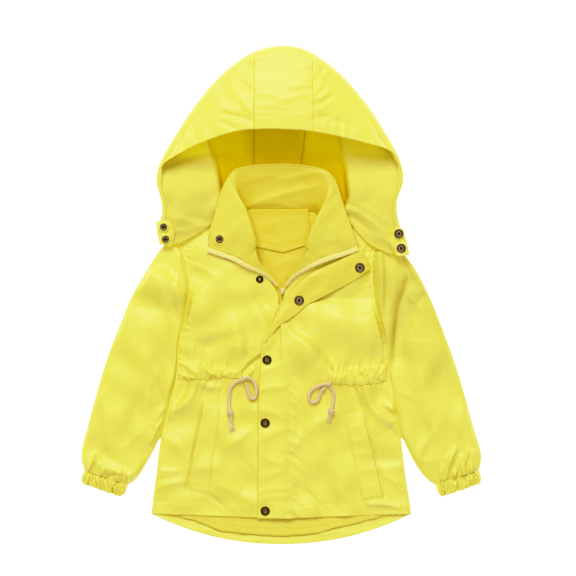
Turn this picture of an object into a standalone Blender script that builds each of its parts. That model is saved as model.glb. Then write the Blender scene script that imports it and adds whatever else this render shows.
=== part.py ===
"""Kids raincoat, laid out flat on its back, with the hood spread open above the collar.

Frame: metres, +Z up. The coat rests on Z = 0, +Y runs from the hem to the hood and
-X is the wearer's right. Tables and sizes are in millimetres; MM turns them into metres.
Every sewn piece is a closed wall of cloth, and each table has one row for each section
or fold of its piece, in the columns that its comment names.
"""
from functools import cache
from math import ceil, cos, exp, hypot, pi, radians, sin

import bmesh
import bpy
import numpy as np
from mathutils import Vector
from mathutils.bvhtree import BVHTree

MM = 0.001

# ---------------------------------------------------------------- driving sizes
CLOTH = 1.2            # one wall of the shell cloth with its lining side
DOUBLE = 2.4           # collar and facings: two layers and a stiffener
GAP = 0.4              # air at a seam, and under a piece that lies on another
REST = CLOTH + GAP     # underside of a front where it meets the back
LOFT = 2.1             # how far the fronts stand off the back in the middle
LOFT_RUN = 22.0        # distance from a seam over which they rise
SLEEVE_LOFT = 2.2
ARMHOLE_GAP = 1.0      # between a sleeve's head and the body, both drawn with straight steps
HEM_BAND = 20.0        # turned and stitched hem
HEM_EXTRA = 0.7        # the hem's extra thickness
FRONT_EDGE = 3.6       # each front stops this far from the centre line
CORD_WIDTH = 5.5
SNAP_RADIUS = 7.8
SOCKET_RADIUS = 8.2

YELLOW = (0.90, 0.80, 0.10)
GOLD = (0.78, 0.66, 0.06)
CREAM = (0.93, 0.83, 0.50)
COTTON = (0.80, 0.62, 0.42)
BRASS = (0.16, 0.11, 0.05)

# ---------------------------------------------------------------- body tables
# Edge of the body, armhole included: y, x on the wearer's right, x on the wearer's left.
BODY_SIDE = [
    (-361, -214, 215),
    (-335, -211, 211.5),
    (-290, -205, 204.5),
    (-240, -199, 198.5),
    (-190, -188, 192.5),
    (-145, -176, 183),
    (-110, -172, 176.5),
    (-82, -172, 174),
    (-60, -166, 170),
    (-35, -159, 162.5),
    (-8, -154, 156.5),
    (15, -153, 153.5),
    (45, -157.5, 152.5),
    (74, -166, 157),
    (94, -180, 173),
]
UNDERARM_Y = -82
SHOULDER_Y = 94

# Sections of a front: outer y, inner x from the centre, inner y, rise at the inner edge.
FRONT_ROWS = [
    (-361, 0, -369, 0),
    (-338, 0, -345, 0),
    (-290, 0, -296, 0),
    (-240, 0, -245, 0),
    (-190, 0, -195, 0),
    (-145, 0, -150, 0),
    (-110, 0, -112, 0),
    (-82, 0, -75, 0),
    (-52, 0, -38, 0),
    (-18, 1, -2, 1),
    (15, 13, 22, 2.5),
    (45, 31, 52, 7),
    (68, 41, 80, 8),
    (84, 52, 101, 4),
    (94, 74, 142, 0),
]

# Sections of the back: y at both edges, and how far the middle lies above or below it.
BACK_ROWS = [
    (-361, -50),
    (-338, -38),
    (-290, -20),
    (-240, -8),
    (-190, -1),
    (-145, 0),
    (-100, 0),
    (-60, 0),
    (-18, 0),
    (20, 0),
    (50, 6),
    (74, 22),
    (94, 44.5),
]

# Main folds of the fronts: from x, y to x, y, half width, height.
BODY_FOLDS = [
    (-62, -121, -36, -102, 6, 1.6),
    (-60, -132, -38, -124, 5, 1.3),
    (-70, -92, -40, -70, 10, 1.4),
    (-135, -146, -168, -190, 8, 1.7),
    (-108, -143, -120, -172, 6, 0.9),
    (-84, -145, -96, -205, 9, 1.0),
    (-130, -60, -140, -102, 9, 1.1),
    (-95, -30, -104, -104, 12, 1.0),
    (-70, 0, -60, -62, 14, 0.9),
    (-202, -296, -172, -292, 6, 1.2),
    (-196, -316, -158, -306, 6, 1.4),
    (-80, -250, -58, -330, 12, 1.0),
    (14, -48, 78, -121, 8, 1.7),
    (60, -60, 112, -110, 12, 1.0),
    (118, -40, 140, -104, 12, 1.1),
    (132, -150, 192, -194, 6, 1.6),
    (150, -150, 178, -176, 6, 1.0),
    (170, -214, 192, -213, 6, 1.2),
    (88, -150, 84, -210, 10, 0.9),
    (50, -150, 44, -240, 10, 0.8),
    (70, -250, 84, -338, 12, 1.0),
    (176, -300, 200, -318, 7, 1.1),
]

# ---------------------------------------------------------------- sleeve tables
# Sections of a sleeve: outer x, y, inner x, y, share of the armhole's curve.
SLEEVE_RIGHT = [
    (-180, 94, -172, -82, 1.0),
    (-198, 76, -174, -95, 0.85),
    (-219, 45, -175, -118, 0.6),
    (-246, -3, -181, -157, 0.35),
    (-271, -63, -192, -193, 0.15),
    (-289, -112, -198, -224, 0.0),
    (-304, -162, -210, -250, 0.0),
    (-317, -211, -224, -279, 0.0),
    (-327, -249, -234, -296, 0.0),
    (-329, -271, -242, -306, 0.0),
    (-324, -290, -252, -313, 0.0),
]
SLEEVE_LEFT = [
    (173, 94, 174, -82, 1.0),
    (191, 80, 176, -95, 0.85),
    (218, 48, 179, -118, 0.6),
    (245, -3, 187, -151, 0.35),
    (269, -63, 194, -187, 0.15),
    (287, -112, 199, -224, 0.0),
    (302, -162, 211, -250, 0.0),
    (317, -216, 224, -279, 0.0),
    (328, -252, 234, -295, 0.0),
    (330, -272, 244, -306, 0.0),
    (326, -289, 255, -313, 0.0),
]
# Main folds of the sleeves, in the columns of BODY_FOLDS.
SLEEVE_FOLDS = [
    (-214, 38, -168, 6, 10, 1.8),
    (-250, -12, -190, -32, 9, 1.4),
    (-300, -272, -240, -296, 8, 1.8),
    (-210, -232, -196, -212, 5, 1.2),
    (-230, -120, -262, -196, 14, 1.1),
    (-250, -60, -216, -120, 12, 1.0),
    (214, 30, 180, -56, 12, -1.0),
    (196, 44, 166, -30, 8, 1.6),
    (246, 0, 206, -46, 10, 1.4),
    (278, -294, 292, -262, 7, 1.3),
    (310, -286, 316, -262, 6, 1.2),
    (232, -120, 262, -200, 14, 1.1),
    (256, -60, 220, -120, 12, 1.0),
]

# Elastic cuffs: outer x, y, inner x, y.
CUFF_RIGHT = [(-323.6, -291.6, -252.4, -314.4), (-329, -302, -257, -326), (-327, -311, -264, -332)]
CUFF_LEFT = [(325.6, -290.6, 255.4, -314.4), (329.9, -301, 259, -326), (329, -310, 265, -332)]
CUFF_WAVES = 13
CUFF_WAVE_HEIGHT = 0.8

# ---------------------------------------------------------------- hood and collar tables
# Meridians of the hood from the right chin over the crown to the left chin: neck x, y, z,
# outline x, y, height of the lower layer there, radius of its turn, swell of the lower
# layer, opening edge x, y, z.
HOOD_ROWS = [
    (-188, 81, 13, -201, 96, 15, 1.6, 0, -196, 93, 18.4),
    (-168, 86, 12, -199, 119, 18, 1.6, 0, -193, 115, 21.4),
    (-150, 94, 11, -195, 139, 21, 1.6, 0, -189, 134, 24.5),
    (-132, 104, 10, -198, 160, 23, 1.8, 0, -191, 155, 27),
    (-114, 117, 9.5, -204, 183, 24, 2.2, 0, -196, 177, 29),
    (-99, 127, 9, -203, 203, 22, 4, 0, -196, 200, 31),
    (-86, 133, 8, -195, 226, 15, 9, 5, -193, 215, 36),
    (-74, 137, 7.5, -175, 261, 6, 14, 9, -172, 229, 43),
    (-64, 139, 4.5, -147, 305, 0.6, 18, 5, -139, 246, 51),
    (-56, 139, 1.5, -111, 350, 0.6, 19, 0, -99, 261, 58),
    (-50, 139, 0.6, -74, 383, 0.6, 19, 0, -68, 269, 62),
    (-45, 139, 0.6, -44, 401, 0.6, 19, 0, -44, 271, 64),
    (-21, 139, 0.6, -20, 408, 0.6, 19, 0, -15, 272, 65),
    (0, 139, 0.6, 3, 411, 0.6, 19, 0, 8, 271, 65),
    (18, 139, 0.6, 28, 408, 0.6, 19, 0, 31, 270, 65),
    (35, 139, 0.6, 53, 398, 0.6, 19, 0, 54, 267, 64),
    (45, 139, 0.6, 82, 378, 0.6, 19, 0, 79, 263, 62),
    (54, 139, 1.5, 112, 350, 0.6, 19, 0, 107, 257, 58),
    (64, 137, 5, 147, 307, 0.6, 18, 5, 144, 248, 51),
    (76, 134, 8, 175, 262, 6, 14, 9, 173, 240, 43),
    (87, 130, 8, 192, 231, 15, 9, 5, 190, 227, 36),
    (101, 125, 9, 200, 206, 22, 4, 0, 193, 205, 31),
    (116, 116, 9.5, 200, 183, 24, 2.2, 0, 192, 178, 29),
    (127, 102, 10, 191, 157, 23, 1.8, 0, 185, 152, 27),
    (142, 87, 11, 191, 135, 21, 1.6, 0, 186, 131, 24.5),
    (160, 76, 12, 196, 112, 18, 1.6, 0, 190, 109, 21.4),
    (183, 67, 13, 205, 86, 15, 1.6, 0, 199, 83, 18.4),
]
HOOD_SEAM_RIGHT = 11   # meridian of the seam between the right side and the centre panel
HOOD_SEAM_LEFT = 15
HOOD_POINTS = (6, 5, 5)  # points along the lower layer, round the turn, up to the brim
BRIM_ARCH = 0.05       # rise of the upper layer's arc, as a share of its length

# Collar from the right zip edge round the neck to the left one: neck seam x, y, z,
# roll line x, y, z, top edge x, y, z.
COLLAR_ROWS = [
    (-62, 50, 19, -74, 57, 18.6, -120, 78, 16),
    (-48, 68, 22, -56, 72, 22.5, -120, 91, 16),
    (-45, 79, 20, -45, 86, 26, -118, 106, 17),
    (-51, 97, 12, -47, 104, 29, -112, 125, 18),
    (-59, 114, 9, -52, 123, 30, -106, 148, 19),
    (-65, 127, 8, -60, 144, 30, -100, 169, 21),
    (-63, 135, 7, -70, 163, 28, -92, 186, 23),
    (-51, 139, 5, -71, 183, 23, -79, 205, 23),
    (-31, 140, 4, -48, 185, 12, -54, 213, 19),
    (0, 141, 3.6, 0, 180, 8, 0, 217, 15),
    (28, 140, 4, 36, 183, 10, 41, 214, 18),
    (50, 138, 6, 68, 183, 21, 74, 206, 22),
    (61, 132, 8, 77, 161, 27, 89, 191, 23),
    (64, 120, 9, 63, 134, 30, 97, 170, 21),
    (58, 107, 10, 52, 111, 30, 106, 142, 19),
    (50, 94, 14, 46, 92, 28, 114, 120, 18),
    (45, 81, 20, 46, 81, 25, 120, 102, 17),
    (48, 68, 22, 58, 71, 22.5, 125, 89, 16),
    (64, 54, 19, 76, 59, 18.6, 126, 79, 16),
]

# Facing that shows where a front is turned out: roll line x, y, z, zip edge x, y, z.
FACING_RIGHT = [
    (-40.5, 73, 22.5, -60, 48.5, 19),
    (-39, 63, 22.5, -50, 43, 18),
    (-34, 51, 20, -39, 38, 16.5),
    (-25, 39, 16, -26, 31, 14.5),
    (-12, 26, 13.5, -14, 21.5, 13),
]
FACING_LEFT = [
    (43.5, 69.5, 22.5, 62, 52.6, 19),
    (40, 62, 22.5, 50, 47, 18),
    (33, 50, 20, 35, 40, 16.5),
    (23, 38, 16, 26, 33, 14.5),
    (12, 26, 13.5, 15, 22, 13),
]

# Edge that each half of the zip follows, from the collar's corner to the slider: x, y, z.
ZIP_EDGE_RIGHT = [
    (-120, 78, 16), (-97, 67.5, 17.4), (-74, 57, 18.6), (-62, 50, 19), (-50, 43, 18),
    (-39, 38, 16.5), (-26, 31, 14.5), (-14, 21.5, 13), (-6, 12, 12),
]
ZIP_EDGE_LEFT = [
    (126, 79, 16), (102, 69, 17.4), (76, 59, 18.6), (64, 54, 19), (50, 47, 18),
    (35, 40, 16.5), (26, 33, 14.5), (15, 22, 13), (8, 12, 12),
]
ZIP_WIDTH = 7.0
ZIP_THICKNESS = 1.6
CHAIN_WIDTH = 5.6      # closed teeth between the fronts
CHAIN_ENDS = (-362, 2)
SLIDER_PLACE = (1.5, 7.5)

# ---------------------------------------------------------------- pieces that lie on others
# Storm flap where it lies closed: free edge x, y, sewn edge x, y.
FLAP_ROWS = [
    (-39, -369, 16, -369),
    (-38.5, -285, 16, -285),
    (-38, -201, 16, -201),
    (-35, -124, 16, -124),
    (-31, -82, 16, -82),
    (-20, -54, 15.5, -54),
    (-10, -31, 15, -31),
    (-3, -18, 14, -18),
    (1, -10, 12, -10),
]
# The same flap where it is turned out: fold or zip side x, y, z, free edge x, y, z.
FLAP_TURNED_ROWS = [
    (133, 80, 11.0, 147, 42, 9.0),
    (103, 61, 12.4, 119, 23, 8.6),
    (77, 49, 13.0, 93, 9, 8.4),
    (51, 37, 12.6, 66, -5, 8.4),
    (31, 21, 10.4, 43, -17, 8.6),
    (15, 5, 9.4, 26, -31, 9.0),
    (2, -14, 9.9, 9, -43, 9.6),
    (-8, -34, 10.1, -3, -51, 9.9),
    (-20, -57, 10.1, -15, -65, 10.0),
    (-29, -76, 10.1, -26, -79, 10.1),
]
PATCH_ROWS = [         # yoke patch inside the back neck: left x, y, right x, y
    (-57, 136, 46, 136),
    (-50, 118, 47, 118),
    (-46, 98, 47, 98),
    (-42, 83, 42, 82),
    (-36, 77, 34, 77),
    (-22, 74.5, 20, 71.5),
]
LINING_ROWS = [        # lower edge of the lining that shows below the fronts: x, y
    (-188, -363),
    (-144, -372),
    (-104, -388),
    (-71, -393),
    (-2, -398),
    (61, -393),
    (87, -385),
    (116, -379),
    (150, -370),
    (190, -362),
]
LINING_TOP = -338
WELT_RIGHT = [(-127, -178, -99, -183), (-141, -250, -109.5, -255), (-155, -322, -120, -327)]
WELT_LEFT = [(134, -191, 104, -200), (151.5, -262, 119, -269), (169, -333, 134, -338)]
WELT_THICKNESS = 1.6
# Drawstring casing: x, top y, bottom y.
CASING_RIGHT = [(-170, -106, -140), (-153, -109, -140), (-121, -119, -139), (-96, -120, -137),
                (-64, -119, -139)]
CASING_LEFT = [(78, -124, -146), (101, -125, -148), (124, -123, -149), (145, -117, -147),
               (162, -113, -145), (174, -114, -143)]
CASING_THICKNESS = 1.6
CASING_WAVE = 9.0      # length of one gather
CASING_WAVE_HEIGHT = 0.8
TAB_RIGHT = [(-206, 121, -184, 126), (-204, 102, -174, 106), (-200, 84, -180, 79)]
TAB_LEFT = [(201, 110, 184, 116), (207, 89, 178, 88), (212, 66, 190, 63)]

# Snaps: name, x, y, radius, kind, and the pieces that carry it.
SNAPS = [
    ("snap_cap_top", -23, -107, SNAP_RADIUS, "cap", ("storm_flap",)),
    ("snap_cap_middle", -26, -211, SNAP_RADIUS, "cap", ("storm_flap",)),
    ("snap_cap_bottom", -26, -356, SNAP_RADIUS, "cap", ("storm_flap",)),
    ("snap_socket_flap_upper", 130, 45, SOCKET_RADIUS, "socket", ("storm_flap_turned",)),
    ("snap_socket_flap_lower", 30, -9, SOCKET_RADIUS, "socket", ("storm_flap_turned",)),
    ("snap_stud_front", -35, 26, 6.6, "stud", ("front_right_panel",)),
    ("snap_stud_collar", -101, 92, 6.6, "stud", ("collar",)),
    ("snap_hood_right_upper", -193, 112, 6.0, "stud", ("hood_tab_right",)),
    ("snap_hood_right_lower", -190, 92, 6.0, "stud", ("hood_tab_right",)),
    ("snap_hood_left_upper", 194, 101, SNAP_RADIUS, "stud", ("hood_tab_left",)),
    ("snap_hood_left_lower", 198, 77, SNAP_RADIUS, "stud", ("hood_tab_left",)),
]

# Drawcords: points x, y along each free stretch. The bow knot stands between them.
KNOT_RIGHT = (-62.5, -138.5)
LOOP_RIGHT = [(-55.5, -136.5), (-48, -138.5), (-40.5, -146), (-38.5, -158), (-41.5, -170),
              (-48, -174.5), (-54, -169), (-57, -158), (-60.5, -146.5)]
TAIL_RIGHT = [(-69, -141.5), (-78, -147), (-84, -158), (-86, -174), (-86.5, -190),
              (-84, -200), (-82, -213)]
KNOT_LEFT = (77.5, -147.5)
LOOP_LEFT = [(70.5, -147), (59, -151), (48, -160), (44.5, -172), (49, -181), (59, -183),
             (66, -175), (69.5, -164), (74.5, -154.5)]
TAIL_LEFT = [(83, -152), (87.5, -160), (88, -172), (86, -184), (83.5, -194), (80, -205)]
STOPPER_AT = 0.79      # where the stopper knot sits along a tail
KNOT_RADIUS = 5.2
CORD_POINTS = 20
TUFT_LENGTH = 11.0


# ---------------------------------------------------------------- curves and grids
def on_curve(rows, place):
    """Point at a row position (0 is the first row) on a smooth curve through the rows."""
    rows = np.asarray(rows, float)
    last = len(rows) - 1
    first = min(int(place), last - 1)
    f = place - first
    p0, p1, p2, p3 = (rows[min(max(first + k, 0), last)] for k in (-1, 0, 1, 2))
    cubic = -p0 + 3 * p1 - 3 * p2 + p3
    square = 2 * p0 - 5 * p1 + 4 * p2 - p3
    return 0.5 * (2 * p1 + (p2 - p0) * f + square * f ** 2 + cubic * f ** 3)


def resample(rows, count):
    """Evenly placed rows on the smooth curve through a table's rows."""
    return np.array([on_curve(rows, t) for t in np.linspace(0, len(rows) - 1, count)])


def even_lengths(points, count):
    """Points at equal distances along the smooth curve through a short list."""
    dense = resample(points, 12 * len(points))
    steps = np.linalg.norm(np.diff(dense, axis=0), axis=1)
    run = np.concatenate(([0], np.cumsum(steps)))
    return np.array([[np.interp(d, run, axis) for axis in dense.T]
                     for d in np.linspace(0, run[-1], count)])


def ease(f):
    """Smooth step from 0 to 1."""
    f = np.clip(f, 0, 1)
    return f * f * (3 - 2 * f)


@cache
def body_outline():
    """The table of the body's edge, drawn out into a fine line."""
    return resample(BODY_SIDE, 8 * len(BODY_SIDE))


def body_edge(y, side):
    """x of the body's edge at a height y; side is 1 for the wearer's right, 2 for the left."""
    rows = body_outline()
    return float(np.interp(y, rows[:, 0], rows[:, side]))


def folds_at(folds, x, y):
    """Height that the folds of a table add at a point; each tapers to nothing at its ends."""
    total = 0.0
    for x0, y0, x1, y1, half_width, height in folds:
        length = hypot(x1 - x0, y1 - y0)
        along = ((x - x0) * (x1 - x0) + (y - y0) * (y1 - y0)) / length
        off = ((x - x0) * (y1 - y0) - (y - y0) * (x1 - x0)) / length
        beyond = max(-along, along - length, 0) / (1.5 * half_width)
        total += height * exp(-(off / half_width) ** 2 - beyond ** 2)
    return total


# ---------------------------------------------------------------- objects
def finish(name, colour, roughness=0.6, metallic=0.0):
    """A plain Principled material."""
    material = bpy.data.materials.new(name)
    material.use_nodes = True
    shader = material.node_tree.nodes["Principled BSDF"]
    shader.inputs["Base Color"].default_value = (*colour, 1)
    shader.inputs["Roughness"].default_value = roughness
    shader.inputs["Metallic"].default_value = metallic
    return material


def add_object(name, vertices, faces, material):
    """A mesh object from points in millimetres, its faces turned outwards."""
    mesh = bpy.data.meshes.new(name)
    mesh.from_pydata([Vector(p) * MM for p in vertices], [], faces)
    mesh.materials.append(material)
    thing = bpy.data.objects.new(name, mesh)
    bpy.context.scene.collection.objects.link(thing)
    turn_outwards(mesh)
    return thing


def turn_outwards(mesh):
    """Gives a closed mesh consistent outward faces, and rounds its shading."""
    work = bmesh.new()
    work.from_mesh(mesh)
    bmesh.ops.recalc_face_normals(work, faces=work.faces)
    work.to_mesh(mesh)
    work.free()
    mesh.shade_smooth()
    mesh.set_sharp_from_angle(angle=radians(40))


def wall(name, under, over, material, ring=False):
    """One closed wall between two grids of points, each [row, column, xyz]."""
    rows, columns = under.shape[:2]
    vertices = [p for grid in (under, over) for p in grid.reshape(-1, 3)]

    def at(layer, i, j):
        return layer * rows * columns + i * columns + j % columns

    spans = columns if ring else columns - 1
    faces = []
    for i in range(rows - 1):
        for j in range(spans):
            for layer in (0, 1):
                faces.append([at(layer, i, j), at(layer, i, j + 1),
                              at(layer, i + 1, j + 1), at(layer, i + 1, j)])
    for j in range(spans):
        for i in (0, rows - 1):
            faces.append([at(0, i, j), at(0, i, j + 1), at(1, i, j + 1), at(1, i, j)])
    if not ring:
        for i in range(rows - 1):
            for j in (0, columns - 1):
                faces.append([at(0, i, j), at(0, i + 1, j), at(1, i + 1, j), at(1, i, j)])
    return add_object(name, vertices, faces, material)


def skins(middle, thickness):
    """The two faces of a wall, half its thickness either side of its middle surface."""
    along = np.gradient(middle, axis=0)
    across = np.gradient(middle, axis=1)
    normal = np.cross(across, along)
    normal /= np.linalg.norm(normal, axis=2)[:, :, None]
    half = np.broadcast_to(np.asarray(thickness, float) / 2, middle.shape[:2])[:, :, None]
    return middle - normal * half, middle + normal * half


def grid_between(pairs, columns):
    """Grid from rows of two points each, the columns evenly spaced between them."""
    size = pairs.shape[1] // 2
    share = np.linspace(0, 1, columns)[None, :, None]
    return pairs[:, None, :size] * (1 - share) + pairs[:, None, size:] * share


def top_of(*names):
    """A function of x, y and reach: the highest point of the named pieces near there."""
    missing = float("-inf")
    trees = []
    for name in names:
        mesh = bpy.data.objects[name].data
        points = [v.co / MM for v in mesh.vertices]
        trees.append(BVHTree.FromPolygons(points, [p.vertices for p in mesh.polygons]))

    def height(x, y, reach=0.0):
        offsets = (-reach, 0, reach) if reach else (0,)
        best = missing
        for tree in trees:
            for dx in offsets:
                for dy in offsets:
                    hit = tree.ray_cast(Vector((x + dx, y + dy, 500)), Vector((0, 0, -1)))[0]
                    if hit:
                        best = max(best, hit.z)
        return best

    return height


def laid_wall(name, plan, on, material, thickness=CLOTH, lift=GAP, reach=4.0, waves=None):
    """A wall that lies on other pieces: its underside follows their tops, moved out."""
    height = top_of(*on)
    rows, columns = plan.shape[:2]
    base = np.array([[height(*plan[i, j, :2], reach) for j in range(columns)]
                     for i in range(rows)])
    found = np.isfinite(base)
    base[~found] = base[found].mean()
    under = np.dstack((plan[:, :, :2], base + lift))
    over = under.copy()
    over[:, :, 2] += thickness if waves is None else thickness + waves
    return wall(name, under, over, material)


# ---------------------------------------------------------------- body
def back_panel(material):
    """Back of the coat, flat on the ground, its hem dipping in the middle."""
    rows = resample(BACK_ROWS, 23)
    columns = 11
    share = np.linspace(0, 1, columns)
    plan = np.zeros((len(rows), columns, 3))
    for i, (y, dip) in enumerate(rows):
        left, right = body_edge(y, 1), body_edge(y, 2)
        shape = 1 - np.abs(2 * share - 1) ** (2.1 if dip < 0 else 2.6)
        plan[i, :, 0] = left + (right - left) * share
        plan[i, :, 1] = y + dip * shape
    top = plan.copy()
    top[:, :, 2] = CLOTH
    return wall("back_panel", plan, top, material)


def front_grid(side):
    """Underside and top of a front; side is 1 for the wearer's right, 2 for the left."""
    sign = -1 if side == 1 else 1
    rows = resample(FRONT_ROWS, 27)
    columns = 13
    under = np.zeros((len(rows), columns, 3))
    over = np.zeros((len(rows), columns, 3))
    for i, (outer_y, inner_x, inner_y, rise) in enumerate(rows):
        outer = np.array((body_edge(outer_y, side), outer_y))
        inner = np.array((sign * (FRONT_EDGE + max(inner_x, 0)), inner_y))
        width = np.linalg.norm(inner - outer)
        for j, share in enumerate(np.linspace(0, 1, columns)):
            x, y = outer + (inner - outer) * share
            from_seam, from_edge = share * width, (1 - share) * width
            base = REST + LOFT * (1 - exp(-(from_seam / LOFT_RUN) ** 2))
            lift = rise * exp(-(from_edge / 30) ** 2)
            z = base + lift + max(folds_at(BODY_FOLDS, x, y), -0.5 * LOFT)
            under[i, j] = x, y, z
            hem = HEM_EXTRA * (1 - ease((y - outer_y_of_hem(x) - HEM_BAND + 3) / 6))
            over[i, j] = x, y, z + CLOTH + hem
    return under, over


def outer_y_of_hem(x):
    """y of the fronts' lower edge at an x."""
    outer_y, _, inner_y, _ = FRONT_ROWS[0]
    return inner_y + (outer_y - inner_y) * abs(x) / abs(BODY_SIDE[0][1])


def sleeve_tube(name, rows, side, material):
    """A sleeve pressed flat: a closed tube from the armhole to the cuff."""
    rows = resample(rows, 15)
    top_share = np.linspace(0, 1, 12)
    low_share = np.linspace(1, 0, 8)
    count = len(top_share) + len(low_share)
    outside = np.zeros((len(rows), count, 3))
    inside = np.zeros((len(rows), count, 3))
    sign = -1 if side == 1 else 1
    for i, (x0, y0, x1, y1, curve) in enumerate(rows):
        outer, inner = np.array((x0, y0)), np.array((x1, y1))
        width = np.linalg.norm(inner - outer)
        inset = CLOTH / width

        def plan(share):
            x, y = outer + (inner - outer) * share
            hole_y = SHOULDER_Y + (UNDERARM_Y - SHOULDER_Y) * share
            chord = body_edge(SHOULDER_Y, side) * (1 - share) + body_edge(UNDERARM_Y, side) * share
            bow = (body_edge(hole_y, side) - chord) * max(curve, 0) ** (1 + 6 * share)
            return x + bow + sign * ARMHOLE_GAP, y

        def top_height(share):
            x, y = plan(share)
            base = REST + CLOTH + SLEEVE_LOFT * (1 - abs(2 * share - 1) ** 3)
            return base + max(folds_at(SLEEVE_FOLDS, x, y), -1.2) * ease(6 * share * (1 - share))

        for j, share in enumerate(np.concatenate((top_share, low_share))):
            upper = j < len(top_share)
            held = min(max(share, inset), 1 - inset)
            outside[i, j] = *plan(share), top_height(share) if upper else 0
            inside[i, j] = *plan(held), top_height(held) - CLOTH if upper else CLOTH
    return wall(name, inside, outside, material, ring=True)


def cuff_tube(name, rows, material):
    """An elastic cuff: a short tube with its gathers raised on the upper side."""
    rows = resample(rows, 4)
    top_share = np.linspace(0, 1, 2 * CUFF_WAVES + 1)
    low_share = np.linspace(1, 0, 7)
    count = len(top_share) + len(low_share)
    outside = np.zeros((len(rows), count, 3))
    inside = np.zeros((len(rows), count, 3))
    for i, (x0, y0, x1, y1) in enumerate(rows):
        outer, inner = np.array((x0, y0)), np.array((x1, y1))
        inset = CLOTH / np.linalg.norm(inner - outer)
        for j, share in enumerate(np.concatenate((top_share, low_share))):
            upper = j < len(top_share)
            held = min(max(share, inset), 1 - inset)
            height = REST + CLOTH + SLEEVE_LOFT * (1 - abs(2 * share - 1) ** 3)
            wave = CUFF_WAVE_HEIGHT * (j % 2) * ease(5 * share * (1 - share))
            outside[i, j] = *(outer + (inner - outer) * share), height + wave if upper else 0
            z = height - CLOTH if upper else CLOTH
            inside[i, j] = *(outer + (inner - outer) * held), z
    return wall(name, inside, outside, material, ring=True)


# ---------------------------------------------------------------- hood and collar
def hood_meridian(row):
    """Middle line of the hood's cloth from the neck, round the outline, to the opening edge."""
    neck, out, low_z, radius, swell = row[0:3], row[3:5], row[5], row[6], row[7]
    edge = row[8:11]
    to_neck, to_edge = neck[:2] - out, edge[:2] - out
    inward = to_neck / np.linalg.norm(to_neck) + to_edge / np.linalg.norm(to_edge)
    inward /= np.linalg.norm(inward)
    lower, turn, upper = HOOD_POINTS
    start = out + inward * radius
    points = []
    for f in np.arange(lower) / lower:
        x, y = neck[:2] + (start - neck[:2]) * f
        z = neck[2] + (low_z - neck[2]) * ease(1.6 * f)
        points.append((x, y, z + swell * ease(4 * f - 0.8) * ease(3 - 3 * f)))
    for angle in np.linspace(-pi / 2, pi / 2, turn):
        x, y = out + inward * radius * (1 - cos(angle))
        points.append((x, y, low_z + radius * (1 + sin(angle))))
    high = np.array(points[-1])
    length = np.linalg.norm(edge - high)
    for f in np.arange(1, upper + 1) / upper:
        point = high + (edge - high) * f
        point[2] += BRIM_ARCH * length * sin(pi * f) * ease(radius / 10)
        points.append(tuple(point))
    return points


def hood_panel(name, first, last, count, material):
    """The part of the hood between two meridians."""
    rows = [on_curve(HOOD_ROWS, t) for t in np.linspace(first, last, count)]
    middle = np.array([hood_meridian(row) for row in rows])
    middle[:, :, 2] = np.maximum(middle[:, :, 2], CLOTH / 2)
    run = np.cumsum(np.linalg.norm(np.diff(middle[:, ::-1], axis=1), axis=2), axis=1)
    from_brim = np.concatenate((np.zeros((count, 1)), run), axis=1)[:, ::-1]
    crown = ease((middle[:, -1, 2] - 30) / 20)[:, None]
    band = HEM_EXTRA * (1 - ease((from_brim - HEM_BAND - 6) / 10)) * crown
    inner, outer = skins(middle, CLOTH)
    normal = (outer - inner) / CLOTH
    outer = outer + normal * band[:, :, None]
    for skin in (inner, outer):
        skin[:, :, 2] = np.maximum(skin[:, :, 2], 0)
    return wall(name, inner, outer, material)


def collar(material):
    """Stand collar: up from the neck seam, over the roll line and down to its top edge."""
    rows = resample(COLLAR_ROWS, 25)
    middle = np.array([even_lengths(row.reshape(3, 3), 8) for row in rows])
    return wall("collar", *skins(middle, DOUBLE), material)


def facing(name, rows, material):
    """The turned-out edge of a front between its roll line and its zip."""
    middle = grid_between(resample(rows, 9), 5)
    return wall(name, *skins(middle, DOUBLE), material)


# ---------------------------------------------------------------- zip
def zip_half(name, path, sign, material):
    """One half of the open zip: its tape and teeth, just outside the edge it is sewn to."""
    line = even_lengths(path, 18)
    step = np.gradient(line[:, :2], axis=0)
    step /= np.linalg.norm(step, axis=1)[:, None]
    side = np.column_stack((step[:, 1], -step[:, 0])) * sign
    start = DOUBLE / 2 + GAP
    near = np.column_stack((line[:, :2] + side * start, line[:, 2]))
    far = np.column_stack((line[:, :2] + side * (start + ZIP_WIDTH), line[:, 2] - 1.0))
    middle = np.stack((near, far), axis=1)
    return wall(name, *skins(middle, ZIP_THICKNESS), material)


def zip_chain(material):
    """The closed teeth between the two fronts, hidden by the storm flap."""
    ends = np.linspace(*CHAIN_ENDS, 16)
    rows = np.array([(-CHAIN_WIDTH / 2, y, CHAIN_WIDTH / 2, y) for y in ends])
    plan = np.dstack((grid_between(rows, 2), np.zeros((16, 2))))
    under = plan + (0, 0, REST + LOFT)
    return wall("zip_chain", under, under + (0, 0, ZIP_THICKNESS), material)


def zip_slider(material):
    """The slider where the two halves meet: a small rounded block with a waist."""
    outline = [(-5, 7), (-2.5, 8), (2.5, 8), (5, 7), (3.6, 0), (3.2, -6), (-3.2, -6), (-3.6, 0)]
    x0, y0 = SLIDER_PLACE
    count = len(outline)
    floor = top_of("zip_chain", "front_right_panel", "front_left_panel")(x0, y0, 5) + GAP
    levels = [(0.88, 0), (1.0, 0.7), (1.0, 2.4), (0.86, 3.2)]
    vertices = [(x0 + x * size, y0 + y * size, floor + z) for size, z in levels for x, y in outline]
    faces = [[k * count + i, k * count + (i + 1) % count,
              (k + 1) * count + (i + 1) % count, (k + 1) * count + i]
             for k in range(len(levels) - 1) for i in range(count)]
    faces.append(list(range(count)))
    faces.append(list(range((len(levels) - 1) * count, len(levels) * count)))
    return add_object("zip_slider", vertices, faces, material)


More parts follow.
